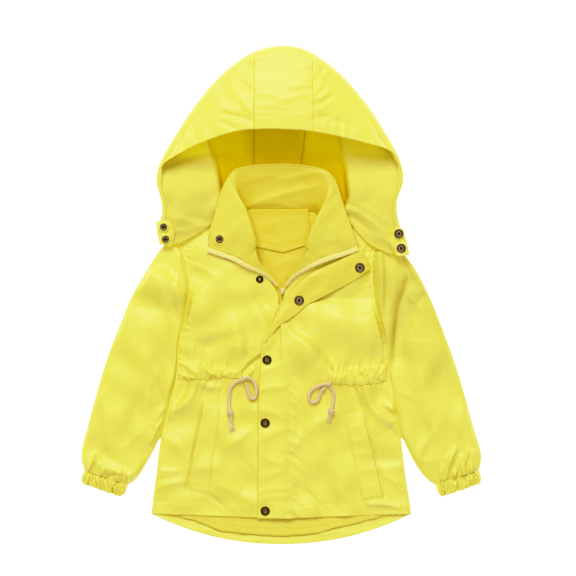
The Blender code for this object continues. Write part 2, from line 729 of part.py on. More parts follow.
# ---------------------------------------------------------------- snaps
# Profiles of a snap from its middle to its back: radius share, height in mm.
SNAP_PROFILES = {
    "cap": [(0.0, 2.1), (0.42, 2.1), (0.50, 1.5), (0.68, 1.6), (0.80, 2.2), (0.96, 1.5), (1.0, 0)],
    "socket": [(0.0, 0.8), (0.28, 0.8), (0.34, 2.2), (0.52, 2.3), (0.66, 1.3), (0.92, 1.6),
               (1.0, 0)],
    "stud": [(0.0, 2.6), (0.22, 2.5), (0.30, 1.1), (0.58, 1.1), (0.74, 1.9), (0.95, 1.5), (1.0, 0)],
}
SNAP_SIDES = 12


def snap(name, x, y, radius, kind, carriers, material):
    """A round metal snap that sits square on the cloth below it."""
    vertices, faces = [(0, 0, SNAP_PROFILES[kind][0][1])], []
    rings = SNAP_PROFILES[kind][1:]
    for share, z in rings:
        for k in range(SNAP_SIDES):
            angle = 2 * pi * k / SNAP_SIDES
            vertices.append((radius * share * cos(angle), radius * share * sin(angle), z))
    for k in range(SNAP_SIDES):
        after = (k + 1) % SNAP_SIDES
        faces.append([0, 1 + k, 1 + after])
        for ring in range(len(rings) - 1):
            a, b = 1 + ring * SNAP_SIDES, 1 + (ring + 1) * SNAP_SIDES
            faces.append([a + k, b + k, b + after, a + after])
    faces.append([1 + (len(rings) - 1) * SNAP_SIDES + k for k in range(SNAP_SIDES)])
    thing = add_object(name, vertices, faces, material)

    height = top_of(*carriers)
    around = [(x + radius * r * cos(a), y + radius * r * sin(a))
              for a in np.arange(12) * pi / 6 for r in (0.5, 1.05)] + [(x, y)]
    spots = [(px, py, height(px, py)) for px, py in around]
    spots = np.array([spot for spot in spots if np.isfinite(spot[2])])
    slope = np.linalg.lstsq(np.column_stack((spots[:, :2], np.ones(len(spots)))), spots[:, 2],
                            rcond=None)[0]
    above = max(z - (slope[0] * px + slope[1] * py) for px, py, z in spots)
    normal = Vector((-slope[0], -slope[1], 1)).normalized()
    seat = Vector((x, y, slope[0] * x + slope[1] * y + above)) + normal * GAP
    thing.location = seat * MM
    thing.rotation_mode = "QUATERNION"
    thing.rotation_quaternion = normal.to_track_quat("Z", "Y")
    return thing


# ---------------------------------------------------------------- drawcords
def cord(name, route, on, material, knot_at=None):
    """A free stretch of drawcord that lies on the cloth, raised where a knot sits on it."""
    height = top_of(*on)
    points = even_lengths(route, CORD_POINTS)
    radius = CORD_WIDTH / 2
    raw = np.array([height(x, y, radius) for x, y in points]) + radius + GAP
    if knot_at is not None:
        places = np.arange(CORD_POINTS) - knot_at * (CORD_POINTS - 1)
        raw += (KNOT_RADIUS + GAP - radius) * np.exp(-(places / 2.2) ** 2)
    kernel = np.array((1, 2, 1)) / 4
    padded = np.pad(raw, 1, mode="edge")
    smooth = np.maximum(np.convolve(padded, kernel, mode="valid"), raw)
    smooth[-1] = smooth[-2] = max(smooth[-2:])
    curve = bpy.data.curves.new(name, "CURVE")
    curve.dimensions = "3D"
    curve.bevel_depth = radius * MM
    curve.bevel_resolution = 2
    curve.use_fill_caps = True
    curve.materials.append(material)
    spline = curve.splines.new("POLY")
    spline.points.add(len(points) - 1)
    for point, (x, y), z in zip(spline.points, points, smooth):
        point.co = (x * MM, y * MM, z * MM, 1)
    thing = bpy.data.objects.new(name, curve)
    bpy.context.scene.collection.objects.link(thing)
    return np.column_stack((points, smooth))


def lump(name, centre, sizes, material, sides=10, levels=5):
    """A rounded knot: an ellipsoid whose sides pinch in at three turns of cord."""
    vertices, faces = [], []
    for k in range(1, levels):
        tip = pi * k / levels
        for s in range(sides):
            turn = 2 * pi * s / sides
            pinch = 1 - 0.10 * cos(3 * turn + 2 * tip)
            vertices.append((centre[0] + sizes[0] / 2 * cos(tip),
                             centre[1] + sizes[1] / 2 * sin(tip) * cos(turn) * pinch,
                             centre[2] + sizes[2] / 2 * sin(tip) * sin(turn) * pinch))
    vertices.append((centre[0] + sizes[0] / 2, centre[1], centre[2]))
    vertices.append((centre[0] - sizes[0] / 2, centre[1], centre[2]))
    start, end = len(vertices) - 2, len(vertices) - 1
    for s in range(sides):
        after = (s + 1) % sides
        faces.append([start, s, after])
        last = (levels - 2) * sides
        faces.append([end, last + s, last + after])
        for k in range(levels - 2):
            a, b = k * sides, (k + 1) * sides
            faces.append([a + s, b + s, b + after, a + after])
    return add_object(name, vertices, faces, material)


def ring_knot(name, middle, direction, material, sides=10, round_sides=6):
    """A stopper knot round the cord: a thick ring with a clear bore."""
    bore = (CORD_WIDTH / 2 + GAP) / cos(pi / sides)
    thick = (KNOT_RADIUS - bore) / 2
    axis = Vector(direction).normalized()
    across = axis.cross(Vector((0, 0, 1))).normalized()
    up = across.cross(axis)
    vertices, faces = [], []
    for s in range(sides):
        turn = 2 * pi * s / sides
        arm = across * cos(turn) + up * sin(turn)
        for r in range(round_sides):
            small = 2 * pi * r / round_sides
            reach = bore + thick + thick * cos(small)
            vertices.append(Vector(middle) + arm * reach + axis * 2.6 * sin(small))
    for s in range(sides):
        for r in range(round_sides):
            a, b = s * round_sides, ((s + 1) % sides) * round_sides
            c = (r + 1) % round_sides
            faces.append([a + r, b + r, b + c, a + c])
    return add_object(name, vertices, faces, material)


def tuft(name, start, direction, material, sides=8):
    """The frayed end of a cord: a short flared cone."""
    axis = Vector(direction).normalized()
    across = axis.cross(Vector((0, 0, 1))).normalized()
    up = across.cross(axis)
    levels = [(0.5, 2.4), (4.0, 3.0), (TUFT_LENGTH, 4.4)]
    vertices, faces = [], []
    for along, radius in levels:
        for s in range(sides):
            turn = 2 * pi * s / sides
            flat = min(radius, 0.42 * CORD_WIDTH)
            vertices.append(Vector(start) + axis * along + across * radius * cos(turn)
                            + up * flat * sin(turn))
    for k in range(len(levels) - 1):
        for s in range(sides):
            after = (s + 1) % sides
            faces.append([k * sides + s, k * sides + after,
                          (k + 1) * sides + after, (k + 1) * sides + s])
    faces.append(list(range(sides)))
    faces.append([(len(levels) - 1) * sides + s for s in range(sides)])
    return add_object(name, vertices, faces, material)


def drawcord(side, knot, loop, tail, front, material):
    """One side's cord: the bow knot at the casing, its loop, and a tail with a stopper."""
    on = (front, "waist_casing_" + side, "storm_flap")
    height = top_of(*on)
    floor = height(*knot, 5) + GAP
    lump("bow_knot_" + side, (*knot, floor + 4.2), (11, 9, 8), material)
    cord("drawcord_loop_" + side, loop, on, material)
    line = cord("drawcord_tail_" + side, tail, on, material, STOPPER_AT)
    place = round(STOPPER_AT * (CORD_POINTS - 1))
    middle, ahead = line[place], line[place + 1] - line[place - 1]
    ring_knot("stopper_knot_" + side, middle, ahead, material)
    tuft("cord_tuft_" + side, line[-1], line[-1] - line[-2], material)


# ---------------------------------------------------------------- the coat
def build():
    cloth = finish("rain_cloth", YELLOW, 0.45)
    inner = finish("inner_cloth", GOLD, 0.5)
    zip_finish = finish("zip", CREAM, 0.6)
    cotton = finish("cotton_cord", COTTON, 0.9)
    metal = finish("brass", BRASS, 0.4, 1.0)

    back_panel(inner)
    wall("front_right_panel", *front_grid(1), cloth)
    wall("front_left_panel", *front_grid(2), cloth)
    sleeve_tube("sleeve_right", SLEEVE_RIGHT, 1, cloth)
    sleeve_tube("sleeve_left", SLEEVE_LEFT, 2, cloth)
    cuff_tube("cuff_right", CUFF_RIGHT, cloth)
    cuff_tube("cuff_left", CUFF_LEFT, cloth)

    lining = np.array([(x, y, x, LINING_TOP) for x, y in resample(LINING_ROWS, 15)])
    plan = grid_between(lining, 3)
    laid_wall("lining_hem", plan, ("back_panel",), inner, thickness=0.8, lift=0.3)
    patch = grid_between(resample(PATCH_ROWS, 6), 6)
    laid_wall("neck_patch", patch, ("back_panel",), inner, lift=0.3)

    seam = 0.02
    hood_panel("hood_side_right", 0, HOOD_SEAM_RIGHT - seam, 13, cloth)
    hood_panel("hood_centre", HOOD_SEAM_RIGHT + seam, HOOD_SEAM_LEFT - seam, 6, cloth)
    hood_panel("hood_side_left", HOOD_SEAM_LEFT + seam, len(HOOD_ROWS) - 1, 13, cloth)
    for side, rows in (("right", TAB_RIGHT), ("left", TAB_LEFT)):
        laid_wall("hood_tab_" + side, grid_between(resample(rows, 5), 4), ("hood_side_" + side,),
                  cloth, lift=1.0, reach=6.0)

    collar(inner)
    facing("facing_right", FACING_RIGHT, inner)
    facing("facing_left", FACING_LEFT, inner)

    zip_chain(zip_finish)
    zip_half("zip_tape_right", ZIP_EDGE_RIGHT, 1, zip_finish)
    zip_half("zip_tape_left", ZIP_EDGE_LEFT, -1, zip_finish)
    zip_slider(zip_finish)

    fronts = ("front_right_panel", "front_left_panel", "zip_chain")
    laid_wall("storm_flap", grid_between(resample(FLAP_ROWS, 25), 6), fronts, cloth)
    turned = grid_between(resample(FLAP_TURNED_ROWS, 19), 5)
    wall("storm_flap_turned", *skins(turned, DOUBLE), inner)

    for side, rows, front in (("right", WELT_RIGHT, 0), ("left", WELT_LEFT, 1)):
        laid_wall("pocket_welt_" + side, grid_between(resample(rows, 10), 4), (fronts[front],),
                  cloth, thickness=WELT_THICKNESS)
    for side, rows, front in (("right", CASING_RIGHT, 0), ("left", CASING_LEFT, 1)):
        length = abs(rows[-1][0] - rows[0][0])
        count = 2 * ceil(length / CASING_WAVE) + 1
        band = np.array([(x, low, x, high) for x, high, low in resample(rows, count)])
        waves = np.zeros((count, 4))
        waves[1::2, 1:3] = CASING_WAVE_HEIGHT
        laid_wall("waist_casing_" + side, grid_between(band, 4), (fronts[front],), cloth,
                  thickness=CASING_THICKNESS, waves=waves)

    for name, x, y, radius, kind, carriers in SNAPS:
        snap(name, x, y, radius, kind, carriers, metal)
    drawcord("right", KNOT_RIGHT, LOOP_RIGHT, TAIL_RIGHT, "front_right_panel", cotton)
    drawcord("left", KNOT_LEFT, LOOP_LEFT, TAIL_LEFT, "front_left_panel", cotton)


for old in list(bpy.data.objects):
    bpy.data.objects.remove(old, do_unlink=True)
build()
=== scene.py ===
"""Looks of the kids raincoat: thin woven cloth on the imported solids, in the order that the coat is sewn.

Tables and sizes are in millimetres, in the coat's own frame: +Y towards the hood, +Z up from the
surface it lies on, -X towards the wearer's right. MM turns them into metres.
"""

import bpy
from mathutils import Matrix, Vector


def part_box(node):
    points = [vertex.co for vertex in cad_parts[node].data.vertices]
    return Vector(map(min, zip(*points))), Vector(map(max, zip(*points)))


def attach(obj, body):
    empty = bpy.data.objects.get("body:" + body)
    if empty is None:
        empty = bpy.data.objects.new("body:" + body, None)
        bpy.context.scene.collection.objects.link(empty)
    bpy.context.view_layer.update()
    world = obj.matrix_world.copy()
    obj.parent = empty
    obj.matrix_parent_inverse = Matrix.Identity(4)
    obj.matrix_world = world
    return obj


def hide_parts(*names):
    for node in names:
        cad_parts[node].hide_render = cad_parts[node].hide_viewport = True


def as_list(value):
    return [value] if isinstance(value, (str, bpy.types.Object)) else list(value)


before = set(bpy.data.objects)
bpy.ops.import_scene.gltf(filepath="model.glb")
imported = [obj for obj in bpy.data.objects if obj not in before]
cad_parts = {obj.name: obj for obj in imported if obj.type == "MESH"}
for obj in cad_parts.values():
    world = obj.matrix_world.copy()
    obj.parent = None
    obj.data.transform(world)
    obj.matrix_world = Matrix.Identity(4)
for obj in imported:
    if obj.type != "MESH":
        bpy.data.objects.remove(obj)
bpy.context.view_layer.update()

from math import ceil, cos, hypot, pi, radians, sin

import bmesh
import bpy
import numpy as np
from mathutils import Vector
from mathutils.bvhtree import BVHTree

MM = 0.001

# ======== studio
# A pale floor that the coat lies on, one wide soft light from the hood's side, weaker ones from straight
# above and from the hem's side, and a long lens that looks straight down.
VIEW_WIDTH = 0.9504      # what the square picture takes in at the floor, in metres
VIEW_CENTRE = (0.0116, 0.0116)
CAMERA_HEIGHT = 8.0
FLOOR_SIZE = 30.0
FLOOR_Z = -0.0004        # just under the coat
FLOOR_WHITE = (0.96, 0.96, 0.96, 1)
FLOOR_GLOW = 1.2         # the table is lit softly from below
SKY = (1.0, 1.0, 1.0, 1)
SKY_STRENGTH = 0.28
# Lights: name, place, size x, size y, watts.
LIGHTS = [
    ("hood_side_light", (-0.8, 4.1, 4.5), 4.2, 3.0, 318),
    ("overhead_light", (0.3, 0.0, 4.5), 2.4, 2.4, 20),
    ("hem_side_light", (0.6, -3.8, 3.0), 3.0, 2.0, 42),
]

scene = bpy.context.scene
scene.view_settings.view_transform = "Standard"
# The film's soft shoulder: above middle grey its highlights are drawn in, and 1.6 and over is white.
SHOULDER = [(0.3, 0.3), (0.72, 0.72), (0.86, 0.83), (1.0, 0.876), (1.2, 0.912), (1.4, 0.945)]
# It keeps deep shades warm: red is held up in them, and blue goes first.
WARMTH = {
    0: [(0.25, 0.27), (0.43, 0.492), (0.54, 0.60), (0.62, 0.668), (0.74, 0.75), (0.85, 0.85)],
    2: [(0.012, 0.001), (0.03, 0.009), (0.045, 0.028), (0.062, 0.054), (0.085, 0.085), (0.3, 0.3)],
}
scene.view_settings.use_curve_mapping = True
film = scene.view_settings.curve_mapping
film.clip_max_x = 1.6
film.curves[3].points[1].location = (1.6, 1.0)
for place, value in SHOULDER:
    film.curves[3].points.new(place, value)
for channel, points in WARMTH.items():
    for place, value in points:
        film.curves[channel].points.new(place, value).handle_type = "AUTO_CLAMPED"
film.update()


def in_scene(name, data):
    """A new object in the scene."""
    thing = bpy.data.objects.new(name, data)
    scene.collection.objects.link(thing)
    return thing


def set_inputs(tree, node, inputs):
    """Gives a node's inputs their values, or joins them to the outputs of other nodes."""
    for socket, value in inputs.items():
        if isinstance(value, bpy.types.NodeSocket):
            tree.links.new(value, node.inputs[socket])
        else:
            node.inputs[socket].default_value = value


def new_material(name):
    """A material, its node tree and its shader."""
    material = bpy.data.materials.new(name)
    material.use_nodes = True
    return material, material.node_tree, material.node_tree.nodes["Principled BSDF"]


lens = bpy.data.cameras.new("long_lens")
lens.lens = lens.sensor_width * CAMERA_HEIGHT / VIEW_WIDTH
lens.clip_end = 100
camera = in_scene("camera", lens)
camera.location = (*VIEW_CENTRE, CAMERA_HEIGHT)
scene.camera = camera

sky = bpy.data.worlds.new("studio_air")
sky.use_nodes = True
set_inputs(sky.node_tree, sky.node_tree.nodes["Background"], {"Color": SKY, "Strength": SKY_STRENGTH})
scene.world = sky

for name, place, size_x, size_y, watts in LIGHTS:
    lamp = bpy.data.lights.new(name, "AREA")
    lamp.shape = "RECTANGLE"
    lamp.size, lamp.size_y, lamp.energy = size_x, size_y, watts
    light = in_scene(name, lamp)
    light.location = place
    light.rotation_mode = "QUATERNION"
    light.rotation_quaternion = (Vector((0, 0, 0)) - Vector(place)).to_track_quat("-Z", "Y")
    light.visible_camera = False

floor_mesh = bpy.data.meshes.new("floor")
half = FLOOR_SIZE / 2
floor_mesh.from_pydata([(-half, -half, 0), (half, -half, 0), (half, half, 0), (-half, half, 0)],
                       [], [(0, 1, 2, 3)])
floor = in_scene("floor", floor_mesh)
floor.location.z = FLOOR_Z
floor_paint, tree, shader = new_material("floor_paint")
set_inputs(tree, shader, {"Base Color": FLOOR_WHITE, "Roughness": 0.9,
                          "Emission Color": (1, 1, 1, 1), "Emission Strength": FLOOR_GLOW})
floor_mesh.materials.append(floor_paint)

# ======== back panel
# The back is one piece of the rain cloth, pressed flat under the coat, with its lining side up. It
# shows inside the neck and as a strip below the fronts, where its hem dips in a long curve.
# Edge of the body, armhole included: y, x on the wearer's right, x on the wearer's left.
BODY_SIDE = [
    (-361, -214, 215), (-335, -211, 211.5), (-290, -205, 204.5), (-240, -199, 198.5),
    (-190, -188, 192.5), (-145, -176, 183), (-110, -172, 176.5), (-82, -172, 174),
    (-60, -166, 170), (-35, -159, 162.5), (-8, -154, 156.5), (15, -153, 153.5),
    (45, -157.5, 152.5), (74, -166, 157), (94, -180, 173),
]
UNDERARM_Y, SHOULDER_Y = -82, 94
RIGHT, LEFT = 1, 2       # columns of that table
SIGN = {RIGHT: -1, LEFT: 1}
# Sections of the back: y at both edges, and how far the middle lies above or below it.
BACK_ROWS = [
    (-361, -50), (-338, -38), (-290, -20), (-240, -8), (-190, -1), (-145, 0), (-100, 0),
    (-60, 0), (-18, 0), (20, 0), (50, 6), (74, 23), (94, 48),
]
BACK_TOP, HEM_RISE = 1.3, 1.1
BACK_GRID = (170, 90)    # rows and columns of its cloth
HEM_BAND = 20.0          # the hem is turned up by this much, and stitched
CLOTH = 0.6              # shell and lining together, as they show at an edge
# Soft creases: from x, y, to x, y, bow, width on the left, width on the right, height.
BACK_CREASES = [
    (-20, 40, 30, 58, 3, 9, 16, 1.8), (-14, 22, 22, 36, 2, 8, 12, 1.4),
    (28, 30, 46, 66, 2, 7, 9, 1.8), (-30, 62, -8, 50, 2, 8, 8, 1),
    (-150, -384, -90, -399, 3, 5, 8, 1.7), (40, -403, 120, -392, 4, 6, 9, 1.8),
    (-60, -404, 10, -407, 2, 5, 7, 1.4),
]


def on_curve(rows, place):
    """Point at a row position (0 is the first row) on a smooth curve through the rows."""
    rows = np.asarray(rows, float)
    last = len(rows) - 1
    first = min(int(place), last - 1)
    f = place - first
    p0, p1, p2, p3 = (rows[min(max(first + k, 0), last)] for k in (-1, 0, 1, 2))
    cubic = -p0 + 3 * p1 - 3 * p2 + p3
    square = 2 * p0 - 5 * p1 + 4 * p2 - p3
    return 0.5 * (2 * p1 + (p2 - p0) * f + square * f ** 2 + cubic * f ** 3)


def resample(rows, count):
    """Evenly placed rows on the smooth curve through a table's rows."""
    return np.array([on_curve(rows, t) for t in np.linspace(0, len(rows) - 1, count)])


def even_lengths(points, count):
    """Points at equal distances along the smooth curve through a short list."""
    dense = resample(points, 12 * len(points))
    run = along_rows(dense[:, None])[:, 0]
    return np.array([[np.interp(d, run, axis) for axis in dense.T]
                     for d in np.linspace(0, run[-1], count)])


def along_rows(grid):
    """Distance from the first row to each row of a grid, measured on the cloth."""
    steps = np.linalg.norm(np.diff(grid, axis=0), axis=2)
    return np.concatenate((np.zeros((1, grid.shape[1])), np.cumsum(steps, axis=0)))


def along_columns(grid):
    """Distance from the first column to each column of a grid."""
    return along_rows(grid.transpose(1, 0, 2)).T


def ease(f):
    """Smooth step from 0 to 1."""
    f = np.clip(f, 0, 1)
    return f * f * (3 - 2 * f)


def rounded(distance, radius):
    """A quarter round: 0 at an edge, 1 from a radius away."""
    return np.sqrt(1 - (1 - np.clip(distance / radius, 0, 1)) ** 2)


def hump(distance, reach):
    """A soft hump over a line: 1 on it, about a third at its reach, and nothing far from it."""
    return np.exp(-(distance / reach) ** 2)



def creased(grid, table):
    """Height that a table of soft creases adds to a grid; each is steeper on its narrow side and
    fades out past its ends."""
    x, y = grid[:, :, 0], grid[:, :, 1]
    total = np.zeros(x.shape)
    for x0, y0, x1, y1, bow, left, right, height in table:
        length = hypot(x1 - x0, y1 - y0)
        ux, uy = (x1 - x0) / length, (y1 - y0) / length
        along = (x - x0) * ux + (y - y0) * uy
        share = np.clip(along / length, 0, 1)
        off = (y - y0) * ux - (x - x0) * uy - bow * 4 * share * (1 - share)
        width = np.where(off > 0, left, right)
        beyond = np.maximum(np.maximum(-along, along - length), 0) / (left + right)
        swell = 0.7 + 0.3 * np.sin(pi * share)
        crest = 1.5 + 0.5 * float(ease(((left + right) / 2 - 8) / 8))
        total += height * swell * np.exp(-np.abs(off / width) ** crest - beyond ** 2 * 2)
    return total


def ripple(along, pitch, seed):
    """Uneven waves of about one pitch each, from -1 to 1."""
    draw = np.random.default_rng(seed)
    total = np.zeros(np.shape(along))
    for share in (0.62, 0.83, 1.0, 1.31, 1.74):
        total += np.sin(2 * pi * along * share / pitch + draw.uniform(0, 2 * pi))
    return total / 2.6


def rumples(seed, count, box, length, width, height, heading, spread):
    """A table of many small creases inside a box, as cloth has from handling."""
    draw = np.random.default_rng(seed)
    table = []
    for _ in range(count):
        x, y = draw.uniform(box[0], box[2]), draw.uniform(box[1], box[3])
        angle = radians(heading + draw.normal(0, spread))
        run = length * draw.uniform(0.5, 1.4)
        broad = width * draw.uniform(0.6, 1.5)
        steep = broad * draw.uniform(0.45, 0.9)
        rise = height * draw.uniform(0.3, 1.0) * draw.choice((-0.7, 1))
        table.append((x, y, x + run * cos(angle), y + run * sin(angle),
                      run * draw.uniform(-0.12, 0.12), broad, steep, rise))
    return table


def swells(x, y, pitch, seed):
    """Broad, soft unevenness of cloth that lies loosely, from -1 to 1."""
    draw = np.random.default_rng(seed)
    total = np.zeros(np.shape(x))
    for _ in range(7):
        heading, run = draw.uniform(0, pi), pitch * draw.uniform(0.75, 1.6)
        total += np.sin(2 * pi * (x * cos(heading) + y * sin(heading)) / run + draw.uniform(0, 2 * pi))
    return total / 3.4


def new_node(tree, kind, inputs, output=0, **settings):
    """One output of a new shader node that has these settings and inputs."""
    node = tree.nodes.new("ShaderNode" + kind)
    for setting, value in settings.items():
        setattr(node, setting, value)
    set_inputs(tree, node, inputs)
    return node.outputs[output]


def attribute(tree, name):
    """A value that a piece keeps at its points."""
    return new_node(tree, "Attribute", {}, "Fac", attribute_name=name)


def speckle(tree, scale, **more):
    """Noise that stays on the piece; scale is in specks to the metre."""
    place = new_node(tree, "TexCoord", {}, "Object")
    return new_node(tree, "TexNoise", {"Vector": place, "Scale": scale, **more})


def spread(tree, value, start, end, to=(0, 1)):
    """A value that goes from one end of a range to the other as the given one goes from start to end."""
    return new_node(tree, "MapRange", {"Value": value, "From Min": start, "From Max": end,
                                       "To Min": to[0], "To Max": to[1]})


def two_tones(tree, share, first, second, **settings):
    """A colour between two others."""
    inputs = {"Factor": share, "A": (*first, 1), "B": (*second, 1)}
    return new_node(tree, "Mix", inputs, "Result", data_type="RGBA", **settings)


def relief(tree, height, depth, strength=1.0, **under):
    """The normal of a surface raised by a height, of a depth in millimetres."""
    return new_node(tree, "Bump", {"Height": height, "Distance": depth * MM, "Strength": strength, **under})


def new_group(name, inputs, outputs):
    """A shader group and the nodes at its two ends. Each input has a name, a type and a value."""
    group = bpy.data.node_groups.new(name, "ShaderNodeTree")
    for socket, kind, value in inputs:
        made = group.interface.new_socket(socket, in_out="INPUT", socket_type="NodeSocket" + kind)
        made.default_value = value
    for socket in outputs:
        group.interface.new_socket(socket, in_out="OUTPUT", socket_type="NodeSocketFloat")
    return group, group.nodes.new("NodeGroupInput").outputs, group.nodes.new("NodeGroupOutput")


def threads_group():
    """Shader group: a plain weave of crossed threads, with thicker and thinner ones among them."""
    group, given, end = new_group(
        "woven_threads", [("Cloth Place", "Vector", (0, 0, 0)), ("Threads per Metre", "Float", 1400)],
        ["Thread Height", "Thread Shade"])
    scaled = new_node(group, "VectorMath", {
        0: given["Cloth Place"], "Scale": given["Threads per Metre"]}, operation="SCALE")
    axes = new_node(group, "SeparateXYZ", {0: scaled}).node.outputs
    turns = [new_node(group, "Math", {0: axes[axis], 1: pi}, operation="MULTIPLY") for axis in "XY"]
    waves = [new_node(group, "Math", {0: turn}, operation="SINE") for turn in turns]
    crossed = new_node(group, "Math", dict(enumerate(waves)), operation="MULTIPLY")
    height = new_node(group, "Math", {0: crossed, 1: 0.5, 2: 0.5}, operation="MULTIPLY_ADD")
    drawn_out = new_node(group, "VectorMath", {0: given["Cloth Place"], 1: SLUB_DRAW},
                         operation="MULTIPLY")
    slubs = new_node(group, "TexNoise", {"Vector": drawn_out, "Scale": 1, "Detail": 2})
    set_inputs(group, end, {"Thread Height": height, "Thread Shade": slubs})
    return group


def handling_group():
    """Shader group: the broad, very shallow unevenness of cloth that has been pressed and handled."""
    group, given, end = new_group("handled_cloth", [("Patches per Metre", "Float", 45)],
                                  ["Crinkle", "Patch"])
    crinkle = speckle(group, given["Patches per Metre"], Detail=4, Roughness=0.55, Distortion=0.9)
    set_inputs(group, end, {"Crinkle": crinkle, "Patch": speckle(group, 7, Detail=3)})
    return group


SLUB_DRAW = (900, 14, 1)     # thick threads are narrow across the cloth and long down it
THREADS, HANDLING = threads_group(), handling_group()
THREAD_RELIEF = 0.05
FOLD_RELIEF = 0.6        # the surface turns this much more at a fold than its shape alone
SATIN_TINT = (1.0, 0.98, 0.62, 1)


def cloth_material(name, lit, shaded, roughness, sheen, crinkle_depth, threads=1400, gloss_level=0.5):
    """A woven cloth: its colour shifts a little between two tones, and its threads are in relief."""
    material, tree, shader = new_material(name)
    place = new_node(tree, "UVMap", {}, uv_map="cloth")
    weave = new_node(tree, "Group", {}, node_tree=THREADS).node
    set_inputs(tree, weave, {"Cloth Place": place, "Threads per Metre": threads})
    handled = new_node(tree, "Group", {}, node_tree=HANDLING).node.outputs
    colour = two_tones(tree, spread(tree, handled["Patch"], 0.35, 0.65), shaded, lit)
    streak = spread(tree, weave.outputs["Thread Shade"], 0, 1, (0.97, 1.03))
    toned = new_node(tree, "VectorMath", {0: colour, "Scale": streak}, operation="SCALE")
    folded = relief(tree, attribute(tree, "fold_height"), FOLD_RELIEF)
    crinkled = relief(tree, handled["Crinkle"], crinkle_depth, Normal=folded)
    set_inputs(tree, shader, {
        "Base Color": toned,
        "Roughness": spread(tree, handled["Crinkle"], 0, 1, (roughness - 0.05, roughness + 0.07)),
        "Normal": relief(tree, weave.outputs["Thread Height"], THREAD_RELIEF, 0.35, Normal=crinkled),
        "Sheen Weight": sheen, "Sheen Roughness": 0.45,
        "Specular IOR Level": gloss_level, "Specular Tint": SATIN_TINT})
    return material


RAIN_CLOTH = cloth_material("rain_cloth", (0.87, 0.80, 0.088), (0.85, 0.77, 0.074),
                            0.40, 0.05, 0.75, gloss_level=0.65)
# A darker copy of the inner cloth, for the back's inner side and the neck patch: painted shade inside the
# neck.
INNER_CLOTH_PAINTED_SHADE = cloth_material("inner_cloth", (0.76, 0.63, 0.040), (0.74, 0.605, 0.035),
                             0.5, 0.03, 1.1)
FACING_CLOTH = cloth_material("facing_cloth", (0.81, 0.71, 0.064), (0.79, 0.685, 0.056),
                              0.45, 0.04, 1.1)


def two_cloths(material, distance, start, end, colour):
    """Lets a cloth pass into a second one along a line, by each point's distance from the line."""
    tree = material.node_tree
    shader = tree.nodes["Principled BSDF"]
    share = spread(tree, attribute(tree, distance), start, end)
    first = shader.inputs["Base Color"].links[0].from_socket
    mixed = two_tones(tree, share, colour, colour)
    set_inputs(tree, mixed.node, {"A": first})
    set_inputs(tree, shader, {"Base Color": mixed})


def mesh_piece(name, points, faces, materials):
    """A new smooth piece whose points are given in millimetres."""
    mesh = bpy.data.meshes.new(name)
    mesh.from_pydata((np.array(points) * MM).tolist(), [], faces)
    for material in materials:
        mesh.materials.append(material)
    mesh.shade_smooth()
    return in_scene(name, mesh)


def keep_values(piece, name, values):
    """Keeps a value at each point of a piece, for its material."""
    kept = piece.data.attributes.new(name, "FLOAT", "POINT")
    kept.data.foreach_set("value", np.ravel(values).astype(np.float32))


def on_coat(piece, slot, *nodes):
    """Fixes a piece to the coat, which is one body, in place of its solids. The slot is not used."""
    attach(piece, "root")
    if nodes:
        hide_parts(*nodes)
    return piece


def cloth_piece(name, top, thickness, materials, ring=False, folds=None):
    """A wall of cloth that hangs its thickness below a grid of points, each [row, column, xyz].
    Each face's inner side has the material after its own, if the piece has more than one. The
    folds' own heights, in the same grid, are kept for the shader."""
    rows, columns = top.shape[:2]
    index = np.arange(rows * columns).reshape(rows, columns)
    if ring:
        index = np.concatenate((index, index[:, :1]), axis=1)
    a, b, c, d = index[:-1, :-1], index[:-1, 1:], index[1:, 1:], index[1:, :-1]
    faces = np.stack((a, b, c, d), axis=-1).reshape(-1, 4)
    piece = mesh_piece(name, top.reshape(-1, 3), faces.tolist(), materials)
    across = along_columns(top) - along_columns(top)[:, -1:] / 2
    place = np.dstack((across, np.broadcast_to(along_rows(top)[:, :1], across.shape))) * MM
    layer = piece.data.uv_layers.new(name="cloth")
    corners = np.zeros(len(piece.data.loops), int)
    piece.data.loops.foreach_get("vertex_index", corners)
    layer.uv.foreach_set("vector", place.reshape(-1, 2)[corners].astype(np.float32).ravel())
    if folds is not None:
        keep_values(piece, "fold_height", folds)
    wall = piece.modifiers.new("thickness", "SOLIDIFY")
    wall.thickness = thickness * MM
    wall.offset = -1
    wall.material_offset = min(len(materials) - 1, 1)
    wall.material_offset_rim = 0
    return piece


def sewn_in(piece, nodes, slot, cut):
    """Puts a piece of cloth in place of its solids, and works out the flat cut it was sewn from: the
    cut's width and length, its longest row and column. They are kept nowhere."""
    on_coat(piece, slot, *nodes)
    width = along_columns(cut)[:, -1].max() * MM
    length = along_rows(cut)[-1].max() * MM
    along, across = np.diff(cut, axis=0)[:, :-1], np.diff(cut, axis=1)[:-1]


def grid_between(pairs, columns, gather=0.0):
    """Grid from rows of two points each; gather draws the columns towards both edges."""
    size = pairs.shape[1] // 2
    share = np.linspace(0, 1, columns)
    share = ((1 - gather) * share + gather * (1 - np.cos(pi * share)) / 2)[None, :, None]
    return pairs[:, None, :size] * (1 - share) + pairs[:, None, size:] * share


BODY_OUTLINE = resample(BODY_SIDE, 8 * len(BODY_SIDE))


def body_edge(y, side):
    """x of the body's edge at a height y."""
    return np.interp(y, BODY_OUTLINE[:, 0], BODY_OUTLINE[:, side])


